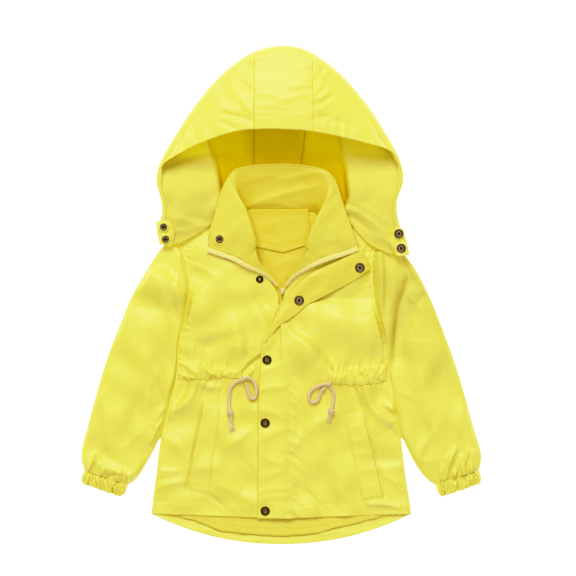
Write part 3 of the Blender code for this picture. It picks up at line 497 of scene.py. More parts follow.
back_rows = resample(BACK_ROWS, BACK_GRID[0])
share = np.linspace(0, 1, BACK_GRID[1])[None, :]
dip = back_rows[:, 1:]
swell = 1 - np.abs(2 * share - 1) ** np.where(dip < 0, 2.1, 2.6)
right_x = body_edge(back_rows[:, 0], RIGHT)[:, None]
left_x = body_edge(back_rows[:, 0], LEFT)[:, None]
back_x = right_x + (left_x - right_x) * share
back_y = back_rows[:, :1] + dip * swell
back_cut = np.dstack((back_x, back_y, np.full(back_x.shape, BACK_TOP)))
back_top = back_cut.copy()
z = back_top[:, :, 2]
from_hem = along_rows(back_cut)
z += np.maximum(creased(back_cut, BACK_CREASES), 0)
z += HEM_RISE * (1 - ease(from_hem / 9)) * ease((back_x + 214) / 40) * ease((214 - back_x) / 40)
z += 0.25 * ripple(back_x, 34, 3) * (1 - ease(from_hem / 30)) + 0.1
# Its lining side is drawn in the darker inner cloth, as painted shade inside the neck.
back = cloth_piece("back_cloth", back_top, CLOTH, [INNER_CLOTH_PAINTED_SHADE, INNER_CLOTH_PAINTED_SHADE, RAIN_CLOTH])
turned_up = from_hem[:-1, :-1] < HEM_BAND
back.data.polygons.foreach_set("material_index", turned_up.ravel() * 2)
sewn_in(back, ["back_panel"], "inner_cloth", back_cut)

# ======== neck patch and lining hem
# Both lie on the back. The patch is a shield of the shell cloth, turned under and stitched down inside
# the neck. The lining's lower edge hangs free inside the hem, so it is fuller and waves a little.
PATCH_ROWS = [         # left x, y, right x, y
    (-58, 141.8, 46, 141.8), (-55, 131, 46.5, 131), (-50, 118, 47, 118), (-46, 98, 47, 98),
    (-41, 79, 42, 82),
]
PATCH_POINT = 11.0       # how far its lower edge runs down to a point in the middle
PATCH_CREASES = [
    (-40, 108, 20, 122, 4, 12, 9, 1), (-10, 84, 34, 96, -3, 10, 12, 0.9),
    (-38, 92, -12, 86, 2, 7, 9, 0.7),
]
LINING_ROWS = [        # lower edge of the lining, x, y
    (-188, -363), (-144, -372), (-104, -388), (-71, -393), (-2, -398), (61, -393),
    (87, -385), (116, -379), (150, -370), (190, -362),
]
LINING_TOP = -338
LINING_LIFT = 0.9        # how far its free edge stands off the back
LINING_WAVE = 31.0
PATCH_GRID, LINING_GRID = (60, 90), (200, 24)
STITCH_LENGTH, STITCH_STEP, THREAD_RADIUS, THREAD_SIDES = 2.3, 3.0, 0.3, 5


def tops_of(*pieces):
    """A function of x and y: the highest point of the given pieces there, and -inf beside them."""
    graph = bpy.context.evaluated_depsgraph_get()
    trees = [BVHTree.FromObject(piece, graph) for piece in pieces]

    def heights(x, y):
        found = np.full(np.shape(x), -np.inf)
        for place in np.ndindex(found.shape):
            above = Vector((x[place], y[place], 500)) * MM
            for tree in trees:
                hit = tree.ray_cast(above, Vector((0, 0, -1)))[0]
                if hit:
                    found[place] = max(found[place], hit.z / MM)
        return found

    return heights


def smoothed(field, passes):
    """A field with each value averaged with its neighbours, some times over."""
    for _ in range(passes):
        padded = np.pad(field, 1, mode="edge")
        field = (padded[1:-1, 1:-1] * 4 + (padded[:-2, 1:-1] + padded[2:, 1:-1]
                 + padded[1:-1, :-2] + padded[1:-1, 2:]) * 2) / 12
    return field


def laid_on(plan, heights, reach, passes=6):
    """Height of cloth that lies on other pieces: it touches their tops and bridges small dips."""
    found = heights(plan[:, :, 0], plan[:, :, 1])
    for dx, dy in ((-reach, 0), (reach, 0), (0, -reach), (0, reach)) if reach else ():
        found = np.maximum(found, heights(plan[:, :, 0] + dx, plan[:, :, 1] + dy))
    missing = ~np.isfinite(found)
    found[missing] = found[~missing].mean()
    return np.maximum(smoothed(found, passes), smoothed(found, 1) - 0.3)


def thread_material(name, colour, roughness=0.5):
    """Twisted polyester thread: its strands run aslant round it."""
    material, tree, shader = new_material(name)
    tone = two_tones(tree, speckle(tree, 2600), [0.86 * part for part in colour], colour)
    set_inputs(tree, shader, {"Base Color": tone, "Roughness": roughness, "Sheen Weight": 0.2})
    return material


def tube_faces(rings, sides):
    """Faces between the rings of a tube."""
    return [(ring * sides + k, ring * sides + (k + 1) % sides,
             (ring + 1) * sides + (k + 1) % sides, (ring + 1) * sides + k)
            for ring in range(rings - 1) for k in range(sides)]


def repeated(faces, count, size):
    """Faces of a number of like shapes, which have so many points each."""
    return [[shape * size + corner for corner in face] for shape in range(count) for face in faces]


SEWING_THREAD = thread_material("sewing_thread", (0.83, 0.75, 0.12))


def stitching(name, lines, on, slot, step=STITCH_STEP):
    """Rows of lockstitch along lines of x, y points, each stitch sunk by half into the cloth."""
    heights = tops_of(*on)
    ends = []
    for line in lines:
        points = np.asarray(line, float)
        run = along_rows(points[:, None])[:, 0]
        starts = np.arange(step / 2, run[-1] - step, step)
        for end in (starts, starts + STITCH_LENGTH):
            ends.append(np.column_stack([np.interp(end, run, axis) for axis in points.T[:2]]))
    first = np.concatenate(ends[0::2])
    last = np.concatenate(ends[1::2])
    first = np.column_stack((first, heights(first[:, 0], first[:, 1])))
    last = np.column_stack((last, heights(last[:, 0], last[:, 1])))
    good = np.isfinite(first[:, 2]) & np.isfinite(last[:, 2])
    good &= np.abs(first[:, 2] - last[:, 2]) < STITCH_LENGTH
    first, last = first[good], last[good]
    along = last - first
    long = np.linalg.norm(along, axis=1)[:, None]
    side = np.cross(along / long, (0, 0, 1))
    side /= np.linalg.norm(side, axis=1)[:, None]
    up = np.cross(side, along / long)
    rings = []
    for share, size, lift in ((0, 0.35, -0.5), (0.18, 1, 0.3), (0.82, 1, 0.3), (1, 0.35, -0.5)):
        for k in range(THREAD_SIDES):
            turn = 2 * pi * k / THREAD_SIDES
            arm = side * cos(turn) * size + up * (sin(turn) * size + lift)
            rings.append(first + along * share + arm * THREAD_RADIUS)
    points = np.stack(rings, axis=1).reshape(-1, 3)
    faces = repeated(tube_faces(4, THREAD_SIDES), len(first), 4 * THREAD_SIDES)
    return on_coat(mesh_piece(name, points, faces, [SEWING_THREAD]), slot)


back_heights = tops_of(back)
patch_plan = grid_between(resample(PATCH_ROWS, PATCH_GRID[0]), PATCH_GRID[1])
down, share = np.linspace(0, 1, PATCH_GRID[0])[:, None], np.linspace(0, 1, PATCH_GRID[1])[None, :]
patch_plan[:, :, 1] -= PATCH_POINT * down ** 3 * np.minimum(share / 0.54, (1 - share) / 0.46)
patch_cut = np.dstack((patch_plan, np.zeros(PATCH_GRID)))
patch_cut[:, :, 2] = laid_on(patch_cut, back_heights, 0) + 0.6 + CLOTH
from_low = along_rows(patch_cut[::-1])[::-1]
from_side = np.minimum(along_columns(patch_cut), along_columns(patch_cut[:, ::-1])[:, ::-1])
patch_edge = np.minimum(from_low, from_side)
patch_top = patch_cut.copy()
z = patch_top[:, :, 2]
z += creased(patch_cut, PATCH_CREASES)
z += 0.9 * rounded(patch_edge, 2.5) - 0.9 + 1.2 * hump(from_low, 6)
z += 1.6 * hump(along_rows(patch_cut), 9)
z -= 0.35 * hump(patch_edge - 3, 1.2)
# The patch is shell cloth, drawn in the darker inner cloth as painted shade inside the neck.
patch = cloth_piece("neck_patch_cloth", patch_top[::-1], CLOTH, [INNER_CLOTH_PAINTED_SHADE])
sewn_in(patch, ["neck_patch"], "inner_cloth", patch_cut)
patch_lines = [patch_plan[:-3, 3], patch_plan[:-3, -4], patch_plan[-3, 3:-3]]
stitching("neck_patch_stitching", patch_lines, [patch], "inner_cloth")

lining_low = resample(LINING_ROWS, LINING_GRID[0])
lining_high = np.column_stack((lining_low[:, 0], np.full(LINING_GRID[0], LINING_TOP)))
lining_plan = grid_between(np.column_stack((lining_low, lining_high)), LINING_GRID[1])
lining_cut = np.dstack((lining_plan, np.zeros(LINING_GRID)))
lining_cut[:, :, 2] = laid_on(lining_cut, back_heights, 0) + CLOTH + 0.4
x, from_edge = lining_cut[:, :, 0], along_columns(lining_cut)
inside = ease((x + 188) / 50) * ease((188 - x) / 50)
lining_top = lining_cut.copy()
z = lining_top[:, :, 2]
z += inside * LINING_LIFT * rounded(from_edge, 3) * hump(from_edge, 26)
z += inside * 0.8 * (1 + ripple(x + 0.4 * from_edge, LINING_WAVE, 8)) * hump(from_edge, 18)
z -= 0.3 * hump(from_edge - 9, 1.2)
lining = cloth_piece("lining_hem_cloth", lining_top[::-1], CLOTH, [FACING_CLOTH])
sewn_in(lining, ["lining_hem"], "inner_cloth", lining_cut)
stitching("hem_stitching_inside", [lining_plan[8:-8, 9], back_cut[12, 4:-4, :2]], [lining, back],
          "inner_cloth")

# ======== fronts
# Each front is cut in one piece from shoulder to hem, with a 20 mm hem turned up and stitched. It is
# drawn together at the waist by its cord, so soft folds run off from the casing and from the flap.
# Sections of a front: outer y, inner x from the centre, inner y, rise at the inner edge.
FRONT_ROWS = [
    (-361, 0, -369, 0), (-338, 0, -345, 0), (-290, 0, -296, 0), (-240, 0, -245, 0),
    (-190, 0, -195, 0), (-145, 0, -150, 0), (-110, 0, -112, 0), (-82, 0, -75, 0),
    (-52, 0, -38, 0), (-18, 1, -2, 1), (15, 13, 22, 2.5), (45, 31, 52, 7),
    (68, 41, 80, 8), (84, 52, 101, 4), (94, 74, 142, 0),
]
FRONT_EDGE = 3.6         # each front stops this far from the centre line
FRONT_GRID = (176, 92)   # rows and columns of its cloth
HEM_COLUMN = 40          # the hem's stitching is found on this one
SEAM_Z = 1.6             # where a front meets the back
FRONT_RISE = 2.9         # its top at a seam's foot, once past the rounded edge
LOFT, LOFT_RUN = 2.3, 22.0
NECK_FILL = 4.0          # the fronts are full where the collar's corners lie on them
HEM_EXTRA = 0.7
# Casing ends, for the gathers that run off from it: x from, x to, top y, bottom y.
GATHERED = {RIGHT: (-172, -62, -114, -139), LEFT: (76, 176, -120, -146)}
FRONT_CREASES = {
    RIGHT: [
        (-158, -38, -88, 32, 6, 17, 36, 7.2), (-140, -74, -84, -58, 3, 18, 12, 3.5),
        (-98, -94, -60, -74, 3, 16, 14, 2.2), (-48, -8, -22, -70, 4, 10, 24, 5),
        (-76, -40, -66, -104, 2, 12, 18, 3.6), (-63, -122, -35, -97, 2, 9, 3, 3),
        (-62, -129, -34, -105, 2, 3, 3, -1.4), (-22, -92, 26, -46, 0, 8, 16, -2),
        (-60, -137, -33, -114, 2, 4, 6, 3.2), (-156, -78, -124, -83, 2, 14, 10, -2.8),
        (-118, -117, -70, -118, 1, 24, 6, -2), (-170, -104, -132, -120, -2, 4, 4, 3),
        (-128.5, -182, -156, -320, 0, 3, 2, -2.2), (-43.5, -122, -42, -178, 0, 4, 8, -3.4),
        (-140, -132, -180, -193, 11, 10, 10, 4.6), (-152, -142, -166, -166, 0, 8, 8, -3.2),
        (-134, -143, -108, -152, -3, 5, 6, 3.5), (-98, -136, -100, -176, 2, 8, 10, -2.5),
        (-42, -213, -92, -252, 3, 8, 14, 2.4), (-206, -289, -174, -291, 1, 3, 4, 2.4),
        (-204, -299, -182, -297, 1, 3, 3, 2), (-204, -318, -154, -307, 2, 8, 9, 3.6),
        (-150, -291, -110, -284, 3, 9, 10, 2.4), (-118, -331, -98, -346, 1, 3, 4, -1.5),
        (-192, -236, -158, -264, 4, 9, 13, 2.2), (-92, -318, -50, -340, 3, 10, 8, 2),
        (-150, 48, -116, 36, 3, 7, 9, 2.2),
    ],
    LEFT: [
        (62, -36, 162, -48, -4, 24, 45, 8.1), (58, -4, 138, -4, -3, 12, 6, -3),
        (17, -66, 79, -127, 4, 10.5, 40, 9.5), (-22, -92, 26, -46, 0, 8, 16, -2),
        (78, -94, 90, -128, 0, 10, 5, -1.4), (110, -117, 168, -112, 1, 26, 6, -2),
        (172, -102, 158, -128, 1, 3, 3, -3.5), (138, -148, 192, -214, -14, 11, 10, 4.4),
        (136, -196, 170.5, -330, 0, 3, 2, -2.2), (144, -140, 180, -196, 4, 7, 7, -2.2),
        (168, -179, 196, -199, 1, 6, 4, 4.2), (110, -150, 128, -182, 2, 14, 12, -2.5),
        (182, -224, 198, -240, 1, 6, 6, -2.5), (150, -275, 202, -272, 1, 15, 5, -3.2),
        (160, -287, 200, -285, 1, 6, 13, 1.8), (32, -240, 70, -205, 4, 7, 14, 3.5),
        (88, -150, 84, -206, 4, 10, 12, 2), (60, -236, 96, -330, 8, 14, 16, 2.5),
        (28, -318, 62, -346, 2, 7, 6, -2.8), (148, -345, 192, -350, 2, 6, 4, 2.8),
        (178, -300, 202, -322, 2, 6, 8, 2.8), (96, -322, 120, -350, 2, 7, 9, 2),
        (140, 42, 112, 28, 3, 8, 10, 2.2),
    ],
}
# Puckers beside the flap's seam on the left front: how far they reach, their height and spacing.
PLACKET_X, PLACKET_REACH, PLACKET_HEIGHT, PLACKET_PITCH = 17.0, 15.0, 0.9, 16.0
HEM_HOLLOW_LIFT = 3.2    # the fronts' hem stands off the back beside the flap


def front_cloth(side):
    """Flat cut and finished surface of a front."""
    sign = SIGN[side]
    rows = resample(FRONT_ROWS, FRONT_GRID[0])
    outer = np.column_stack((body_edge(rows[:, 0], side), rows[:, 0]))
    inner = np.column_stack((sign * (FRONT_EDGE + np.maximum(rows[:, 1], 0)), rows[:, 2]))
    cut = grid_between(np.column_stack((outer, inner)), FRONT_GRID[1], gather=0.45)
    cut = np.dstack((cut, np.zeros(cut.shape[:2])))
    x, y = cut[:, :, 0], cut[:, :, 1]
    from_seam, from_hem = along_columns(cut), along_rows(cut)
    from_edge = from_seam[:, -1:] - from_seam
    armhole = ease((y - UNDERARM_Y) / 12)
    roll = rounded(from_seam, 4.5 - 2.0 * armhole)
    z = SEAM_Z + (FRONT_RISE - SEAM_Z) * roll
    z += LOFT * (1 - hump(from_seam, LOFT_RUN))
    z += np.maximum(rows[:, 3:], 0) * hump(from_edge, 30)
    z += NECK_FILL * np.exp(-((np.abs(x) - 92) / 34) ** 2 - ((y - 62) / 26) ** 2)

    folds = creased(cut, FRONT_CREASES[side])
    box = (x.min(), -350, x.max(), 90)
    folds += creased(cut, rumples(20 + side, 46, box, 34, 6, 0.9, 70 * sign, 42))
    folds += 1.5 * swells(x, y, 52, 25 + side) * ease(from_edge / 30)
    low_x, high_x, top, bottom = GATHERED[side]
    across = ease((x - low_x + 12) / 16) * ease((high_x + 12 - x) / 16)
    above = np.exp(-np.maximum(y - top, 0) / 15) * (y > bottom)
    below = np.exp(-np.maximum(bottom - y, 0) / 19) * (y < bottom)
    sway = x + 0.35 * sign * (y - bottom)
    folds += 0.85 * across * (above * ripple(x - 0.2 * (y - top), 15, 31 + side)
                              + below * ripple(sway, 17, 41 + side))
    folds += 1.0 * armhole * np.exp(-from_seam / 9) * ripple(y + 0.3 * from_seam, 10, 51 + side)
    folds += 0.35 * (1 - armhole) * np.exp(-from_seam / 9) * ripple(y, 19, 61 + side)
    if side == LEFT:
        off = x - PLACKET_X
        slant = y + 0.75 * off
        strength = 0.55 + 0.45 * np.tanh((-y - 190) / 60)
        folds += (PLACKET_HEIGHT * strength * hump(off, PLACKET_REACH) * (off > -4)
                  * ripple(slant, PLACKET_PITCH, 77) * ease((-70 - y) / 20))
    folds *= ease(from_seam / 9)
    floor_z = np.minimum(z, 2.5)
    z = (z + folds + floor_z + np.sqrt((z + folds - floor_z) ** 2 + 0.5)) / 2

    band = 1 - ease((from_hem - HEM_BAND + 1.5) / 3)
    z += HEM_EXTRA * band + 0.28 * band * ripple(x + 0.9 * from_hem, 15, 81 + side)
    z -= 0.5 * hump(from_hem - HEM_BAND - 0.5, 1.3)
    z += HEM_HOLLOW_LIFT * np.exp(-((x - 6) / 34) ** 2 - (from_hem / 22) ** 2)
    z += 1.1 * rounded(from_hem, 1.6) - 1.1
    z -= 0.55 * armhole * hump(from_seam - 7, 1.3)
    top = cut.copy()
    top[:, :, 2] = z
    cut[:, :, 2] = FRONT_RISE
    return cut, top, folds


fronts = {}
front_lines = []
for side, name in ((RIGHT, "right"), (LEFT, "left")):
    cut, top, folds = front_cloth(side)
    order = -SIGN[side]
    fronts[side] = cloth_piece(f"front_{name}_cloth", top[:, ::order], CLOTH, [RAIN_CLOTH],
                               folds=folds[:, ::order])
    sewn_in(fronts[side], [f"front_{name}_panel"], "rain_cloth", cut)
    from_hem = along_rows(cut)[:, HEM_COLUMN]
    hem_row = int(np.searchsorted(from_hem, HEM_BAND))
    front_lines.append(cut[hem_row, 3:, :2])
    arm = slice(int(np.searchsorted(cut[:, 0, 1], UNDERARM_Y + 4)), -3)
    front_lines.append(cut[arm, 0, :2] - (SIGN[side] * 7, 0))
stitching("front_stitching", front_lines, fronts.values(), "rain_cloth")

# ======== pocket welts
# Each pocket has a slanted welt, turned under and stitched down at both ends and along its inner edge.
# Its outer edge is the pocket's mouth, so that edge is free and stands off the front a little.
# Rows from the top down: x, y of the mouth's edge, x, y of the sewn edge.
WELT_RIGHT = [(-127, -178, -99, -183), (-141, -250, -109.5, -255), (-155, -322, -120, -327)]
WELT_LEFT = [(134, -191, 104, -200), (151.5, -262, 119, -269), (169, -333, 134, -338)]
WELT_GRID = (110, 30)
WELT_THICKNESS, WELT_SEEN = 0.8, 1.0
MOUTH_LIFT = 2.2
WELT_CREASES = {
    RIGHT: [(-128, -236, -114, -246, 1, 4, 6, 0.6), (-140, -292, -118, -286, 2, 5, 5, 0.8),
            (-108, -196, -122, -206, 1, 4, 6, 0.6), (-146, -312, -128, -306, 1, 4, 5, 0.6)],
    LEFT: [(112, -222, 138, -214, 2, 4, 6, 0.9), (116, -240, 142, -236, -1, 4, 7, 0.9),
           (122, -262, 148, -262, 1, 4, 5, 0.8), (126, -292, 154, -286, 1, 5, 6, 0.8),
           (134, -318, 160, -316, 2, 4, 6, 0.8)],
}

welts, welt_lines = {}, []
for side, name, rows in ((RIGHT, "right", WELT_RIGHT), (LEFT, "left", WELT_LEFT)):
    plan = grid_between(resample(rows, WELT_GRID[0]), WELT_GRID[1])
    cut = np.dstack((plan, laid_on(plan, tops_of(fronts[side]), 2.0, 10) + 0.1))
    from_mouth, from_top = along_columns(cut), along_rows(cut)
    from_sewn = from_mouth[:, -1:] - from_mouth
    ends = np.minimum(from_top, from_top[-1:] - from_top)
    top = cut.copy()
    z = top[:, :, 2]
    mouth = ease(ends / 16)
    z += WELT_THICKNESS * ease(np.minimum(from_sewn, ends) / 3.5)
    z += MOUTH_LIFT * mouth * hump(from_mouth, 9) * (0.75 + 0.25 * ripple(from_top, 60, 90 + side))
    z -= 0.9 * (1 - rounded(from_mouth, 1.2))
    z += creased(plan, WELT_CREASES[side])
    z -= 0.35 * hump(np.minimum(from_sewn, ends) - 3, 1.1)
    welts[side] = cloth_piece(f"pocket_welt_{name}_cloth", top[::SIGN[side]], WELT_SEEN,
                              [RAIN_CLOTH])
    sewn_in(welts[side], [f"pocket_welt_{name}"], "rain_cloth", cut)
    welt_lines += [plan[3:-3, -4], plan[3, 2:-3], plan[-4, 2:-3], plan[3:-3, 4]]
stitching("pocket_stitching", welt_lines, welts.values(), "rain_cloth")

# ======== waist casings
# A strip of the shell cloth stitched on along both edges as a tunnel for the drawcord. The cord is
# drawn in, so the strip bunches into uneven slanted folds and scallops along its edges.
# Along each casing: x, top y, bottom y.
CASING_RIGHT = [(-170, -106, -140), (-153, -109, -140), (-121, -119, -139), (-96, -120, -137),
                (-64, -119, -139)]
CASING_LEFT = [(78, -124, -146), (101, -125, -148), (124, -123, -149), (145, -117, -147),
               (162, -113, -145), (174, -114, -143)]
CASING_GRID = (150, 40)
CASING_THICKNESS, CASING_PUFF = 0.7, 1.5
# The bunched folds: from x, y, to x, y, bow, width left, width right, height.
CASING_FOLDS = {
    RIGHT: [
        (-168, -112, -150, -124, 2, 4, 4, 2.6), (-170, -128, -146, -136, -2, 3, 5, 2.4),
        (-150, -120, -136, -138, 2, 4, 3, 2.2), (-142, -113, -112, -131, 2, 4, 4, 3.2),
        (-126, -120, -108, -132, -2, 3, 4, 2.5), (-118, -138, -102, -121, 2, 4, 3, 2.2),
        (-101, -118, -100, -138, 2, 4, 3, 3), (-92, -136, -74, -122, 2, 5, 4, 2.6),
        (-80, -138, -66, -121, 2, 3, 4, 2), (-97, -132, -90, -122, 1, 3, 3, -1.5),
    ],
    LEFT: [
        (82, -128, 86, -144, 2, 4, 3, 2), (96, -127, 94, -146, 2, 4, 4, 1.8),
        (108, -124, 106, -144, -2, 3, 5, 2.2), (115, -123, 122, -146, 2, 4, 3, 3),
        (126, -121, 144, -146, 3, 4, 3, 3.8), (139, -118, 130, -128, 1, 3, 4, 2.4),
        (146, -118, 158, -130, 2, 4, 3, 2.8), (152, -134, 172, -144, 2, 4, 3, 1.9),
        (160, -114, 156, -128, 1, 3, 3, 2.5), (172, -112, 164, -128, 2, 4, 3, 3),
    ],
}

casings, casing_lines = {}, []
for side, name, rows in ((RIGHT, "right", CASING_RIGHT), (LEFT, "left", CASING_LEFT)):
    columns = resample(rows, CASING_GRID[0])
    low = np.column_stack((columns[:, 0], columns[:, 2]))
    plan = grid_between(np.column_stack((low, columns[:, :2])), CASING_GRID[1])
    share = np.linspace(0, 1, CASING_GRID[1])[None, :]
    scallop = ripple(columns[:, :1], 14, 100 + side)
    plan[:, :, 1] += 1.3 * scallop * (2 * share - 1) * np.abs(2 * share - 1) ** 3
    cut = np.dstack((plan, laid_on(plan, tops_of(fronts[side]), 2.0, 14) + 0.15))
    from_low = along_columns(cut)
    from_edge = np.minimum(from_low, from_low[:, -1:] - from_low)
    from_end = along_rows(cut)
    from_end = np.minimum(from_end, from_end[-1:] - from_end)
    top = cut.copy()
    z = top[:, :, 2]
    z += CASING_THICKNESS * rounded(np.minimum(from_edge, from_end), 1.8)
    z += CASING_PUFF * np.sin(pi * share) ** 1.3
    folds = creased(plan, CASING_FOLDS[side])
    folds += 0.35 * ripple(plan[:, :, 0] + 0.3 * from_low, 6.5, 110 + side)
    z += folds * ease(from_edge / 4)
    z -= 0.35 * hump(from_edge - 3.4, 1.2)
    casings[side] = cloth_piece(f"waist_casing_{name}_cloth", top[::-1], 1.0, [RAIN_CLOTH])
    sewn_in(casings[side], [f"waist_casing_{name}"], "rain_cloth", cut)
    casing_lines += [plan[4:-4, 4], plan[4:-4, -5]]
stitching("casing_stitching", casing_lines, casings.values(), "rain_cloth")

# ======== sleeves and cuffs
# Each sleeve is one piece folded round the arm and pressed flat, drawn in at the wrist by a cuff with
# elastic in it. The elastic makes the cuff ruffle and throws short folds up the sleeve.
# Sections of a sleeve: outer x, y, inner x, y, share of the armhole's curve.
SLEEVE_RIGHT = [
    (-180, 94, -172, -82, 1), (-198, 76, -172, -95, 0.85), (-219, 45, -175, -118, 0.6),
    (-246, -3, -181, -157, 0.35), (-271, -63, -192, -193, 0.15), (-289, -112, -198, -224, 0),
    (-304, -162, -207, -250, 0), (-317, -211, -223, -279, 0), (-327, -249, -234, -297, 0),
    (-329, -271, -242, -306, 0), (-324, -290, -252, -313, 0),
]
SLEEVE_LEFT = [
    (173, 94, 174, -82, 1), (191, 80, 176, -95, 0.85), (218, 48, 179, -118, 0.6),
    (245, -3, 187, -151, 0.35), (269, -63, 194, -187, 0.15), (287, -112, 199, -224, 0),
    (302, -162, 207, -250, 0), (317, -216, 222, -279, 0), (328, -252, 234, -296, 0),
    (330, -272, 244, -306, 0), (326, -289, 255, -313, 0),
]
CUFF_RIGHT = [(-323.8, -289.4, -252.2, -312.2), (-329, -302, -257, -326), (-327, -311, -264, -332)]
CUFF_LEFT = [(325.8, -288.4, 255.2, -312.2), (329.9, -301, 259, -326), (329, -310, 265, -332)]
SLEEVE_HEIGHT, SLEEVE_EDGE, SLEEVE_FOLD_Z = 5.6, 9.0, 1.3
CUFF_HEIGHT, CUFF_EDGE = 4.6, 3.0
SLEEVE_GRID, CUFF_GRID = (160, 84, 16), (36, 170, 26)    # rows, and columns above and below
SLEEVE_LEAN = {RIGHT: 0.0, LEFT: 0.42}        # the upper arm's cloth turns away from the hood by this
SLEEVE_CREASES = {
    RIGHT: [
        (-217, 36, -171, 7, 4, 13, 26, 8.8), (-247, -14, -178, -27, -2, 22, 14, -2.6),
        (-198, 0, -190, -84, 2, 15, 34, 4.5), (-164, 84, -166, -30, -6, 7, 6, 2),
        (-250, -40, -216, -124, 6, 26, 26, 3.8), (-202, -126, -188, -172, 2, 10, 8, 2.8),
        (-232, -110, -268, -200, 8, 18, 16, 3.2), (-304, -276, -242, -298, -3, 11, 10, 3.8),
        (-290, -307, -266, -299, 5, 4, 4, -1.8), (-318, -298, -314, -288, 0, 3, 3, -1.4),
        (-300, -304, -292, -288, 1, 4, 4, 3), (-270, -308, -266, -294, 1, 4, 4, 2.5),
        (-316, -290, -308, -264, 1, 4, 4, 2.8), (-254, -312, -250, -298, 1, 3, 4, 2.2),
        (-212, -238, -196, -208, 2, 4, 6, 2.8), (-208, -214, -194, -188, 2, 4, 6, 2.2),
        (-300, -170, -288, -240, 4, 12, 14, 2.8),
    ],
    LEFT: [
        (208, 14, 190, -98, -4, 16, 8, -8.5), (241, 6, 196, -74, -5, 10, 9, -3.8),
        (212, 6, 194, -40, -2, 6, 6, 2), (196, 58, 213, 30, 2, 8, 8, -2.2),
        (162, 76, 164, -26, 3, 5, 5, 2.2), (170, 70, 172, -20, 3, 3, 3, -1.2),
        (186, 44, 180, -20, 3, 8, 8, 1.8), (268, -50, 238, -130, 8, 18, 18, 3.5),
        (222, -104, 262, -196, -8, 18, 18, 3.2), (304, -184, 284, -262, -4, 13, 14, 3),
        (240, -200, 268, -262, 4, 12, 12, 2.5), (272, -300, 286, -258, 2, 5, 6, 4.2),
        (287, -296, 296, -268, -1, 4, 4, 3.5), (301, -294, 307, -260, 2, 4, 5, 3.8),
        (316, -288, 318, -260, 1, 4, 4, 2.9), (262, -310, 266, -284, 1, 4, 4, 2.6),
        (228, -264, 250, -230, 3, 6, 8, 2.5),
    ],
}
# Pleats that the elastic draws across each cuff: from its sleeve edge x, y, to its rim x, y.
CUFF_PLEATS = {
    RIGHT: [
        (-322, -294, -321, -309, 1, 3, 2, 2.1), (-314, -296, -312, -312, 1, 3, 3, 2.2),
        (-306, -299, -303, -314, 1, 2, 3, 1.7), (-300, -301, -298, -319, -1, 3, 3, 2.6),
        (-293, -304, -290, -321, 1, 3, 2, 2), (-284, -304, -286, -324, 1, 4, 2, 2.7),
        (-280, -308, -272, -328, 1, 2, 3, 2.7), (-274, -307, -264, -327, 1, 3, 3, 2.5),
        (-266, -309, -262, -324, 1, 3, 2, 2), (-259, -312, -256, -325, 1, 2, 3, 2.2),
    ],
    LEFT: [
        (323, -293, 325, -308, 1, 3, 3, 2.2), (316, -296, 317, -312, -1, 3, 2, 2),
        (309, -299, 308, -315, 1, 3, 3, 2.6), (302, -301, 303, -318, 1, 2, 3, 2.1),
        (294, -303, 298, -320, 1, 3, 3, 2.5), (288, -306, 286, -322, 1, 3, 2, 2.1),
        (280, -306, 284, -325, 1, 3, 3, 2.7), (273, -309, 275, -327, -1, 3, 2, 2.2),
        (266, -311, 268, -328, 1, 2, 3, 2.5), (259, -313, 262, -327, 1, 3, 2, 2.1),
    ],
}
CUFF_RUFFLE, CUFF_PITCH = 0.6, 6.0


def pressed_tube(rows, side, count, over, under, height, wall_radius):
    """Points round a pressed tube, section by section, with its share and distances in the grid:
    the upper face first, from the outer fold to the inner one, and then back along the floor."""
    rows = resample(rows, count)
    if rows.shape[1] == 4:
        rows = np.column_stack((rows, np.zeros(count)))
    across = (1 - np.cos(pi * np.linspace(0, 1, over))) / 2 * 0.6 + np.linspace(0, 1, over) * 0.4
    back = np.linspace(1, 0, under + 2)[1:-1]
    share = np.concatenate((across, back))[None, :]
    upper = (np.arange(over + under) < over)[None, :]
    outer, inner, curve = rows[:, None, 0:2], rows[:, None, 2:4], np.maximum(rows[:, 4:5], 0)
    beside = body_edge(inner[:, :, 1], side) + (0.3 if side == RIGHT else -0.3)
    inner[:, :, 0] += (beside - inner[:, :, 0]) * ease((inner[:, :, 1] + 243) / 12)
    plan = outer + (inner - outer) * share[:, :, None]
    hole_y = SHOULDER_Y + (UNDERARM_Y - SHOULDER_Y) * share
    chord = body_edge(SHOULDER_Y, side) * (1 - share) + body_edge(UNDERARM_Y, side) * share
    plan[:, :, 0] += (body_edge(hole_y, side) - chord) * curve ** (1 + 6 * share)
    width = np.linalg.norm(rows[:, 2:4] - rows[:, 0:2], axis=1)[:, None]
    from_fold = np.minimum(share, 1 - share) * width
    crown = height * (0.72 * rounded(from_fold, wall_radius)
                      + 0.28 * (1 - np.abs(2 * share - 1) ** 2.4))
    z = np.where(upper, SLEEVE_FOLD_Z + crown, SLEEVE_FOLD_Z * (1 - rounded(from_fold, 3.0)))
    return np.dstack((plan, z)), np.broadcast_to(upper, z.shape), from_fold


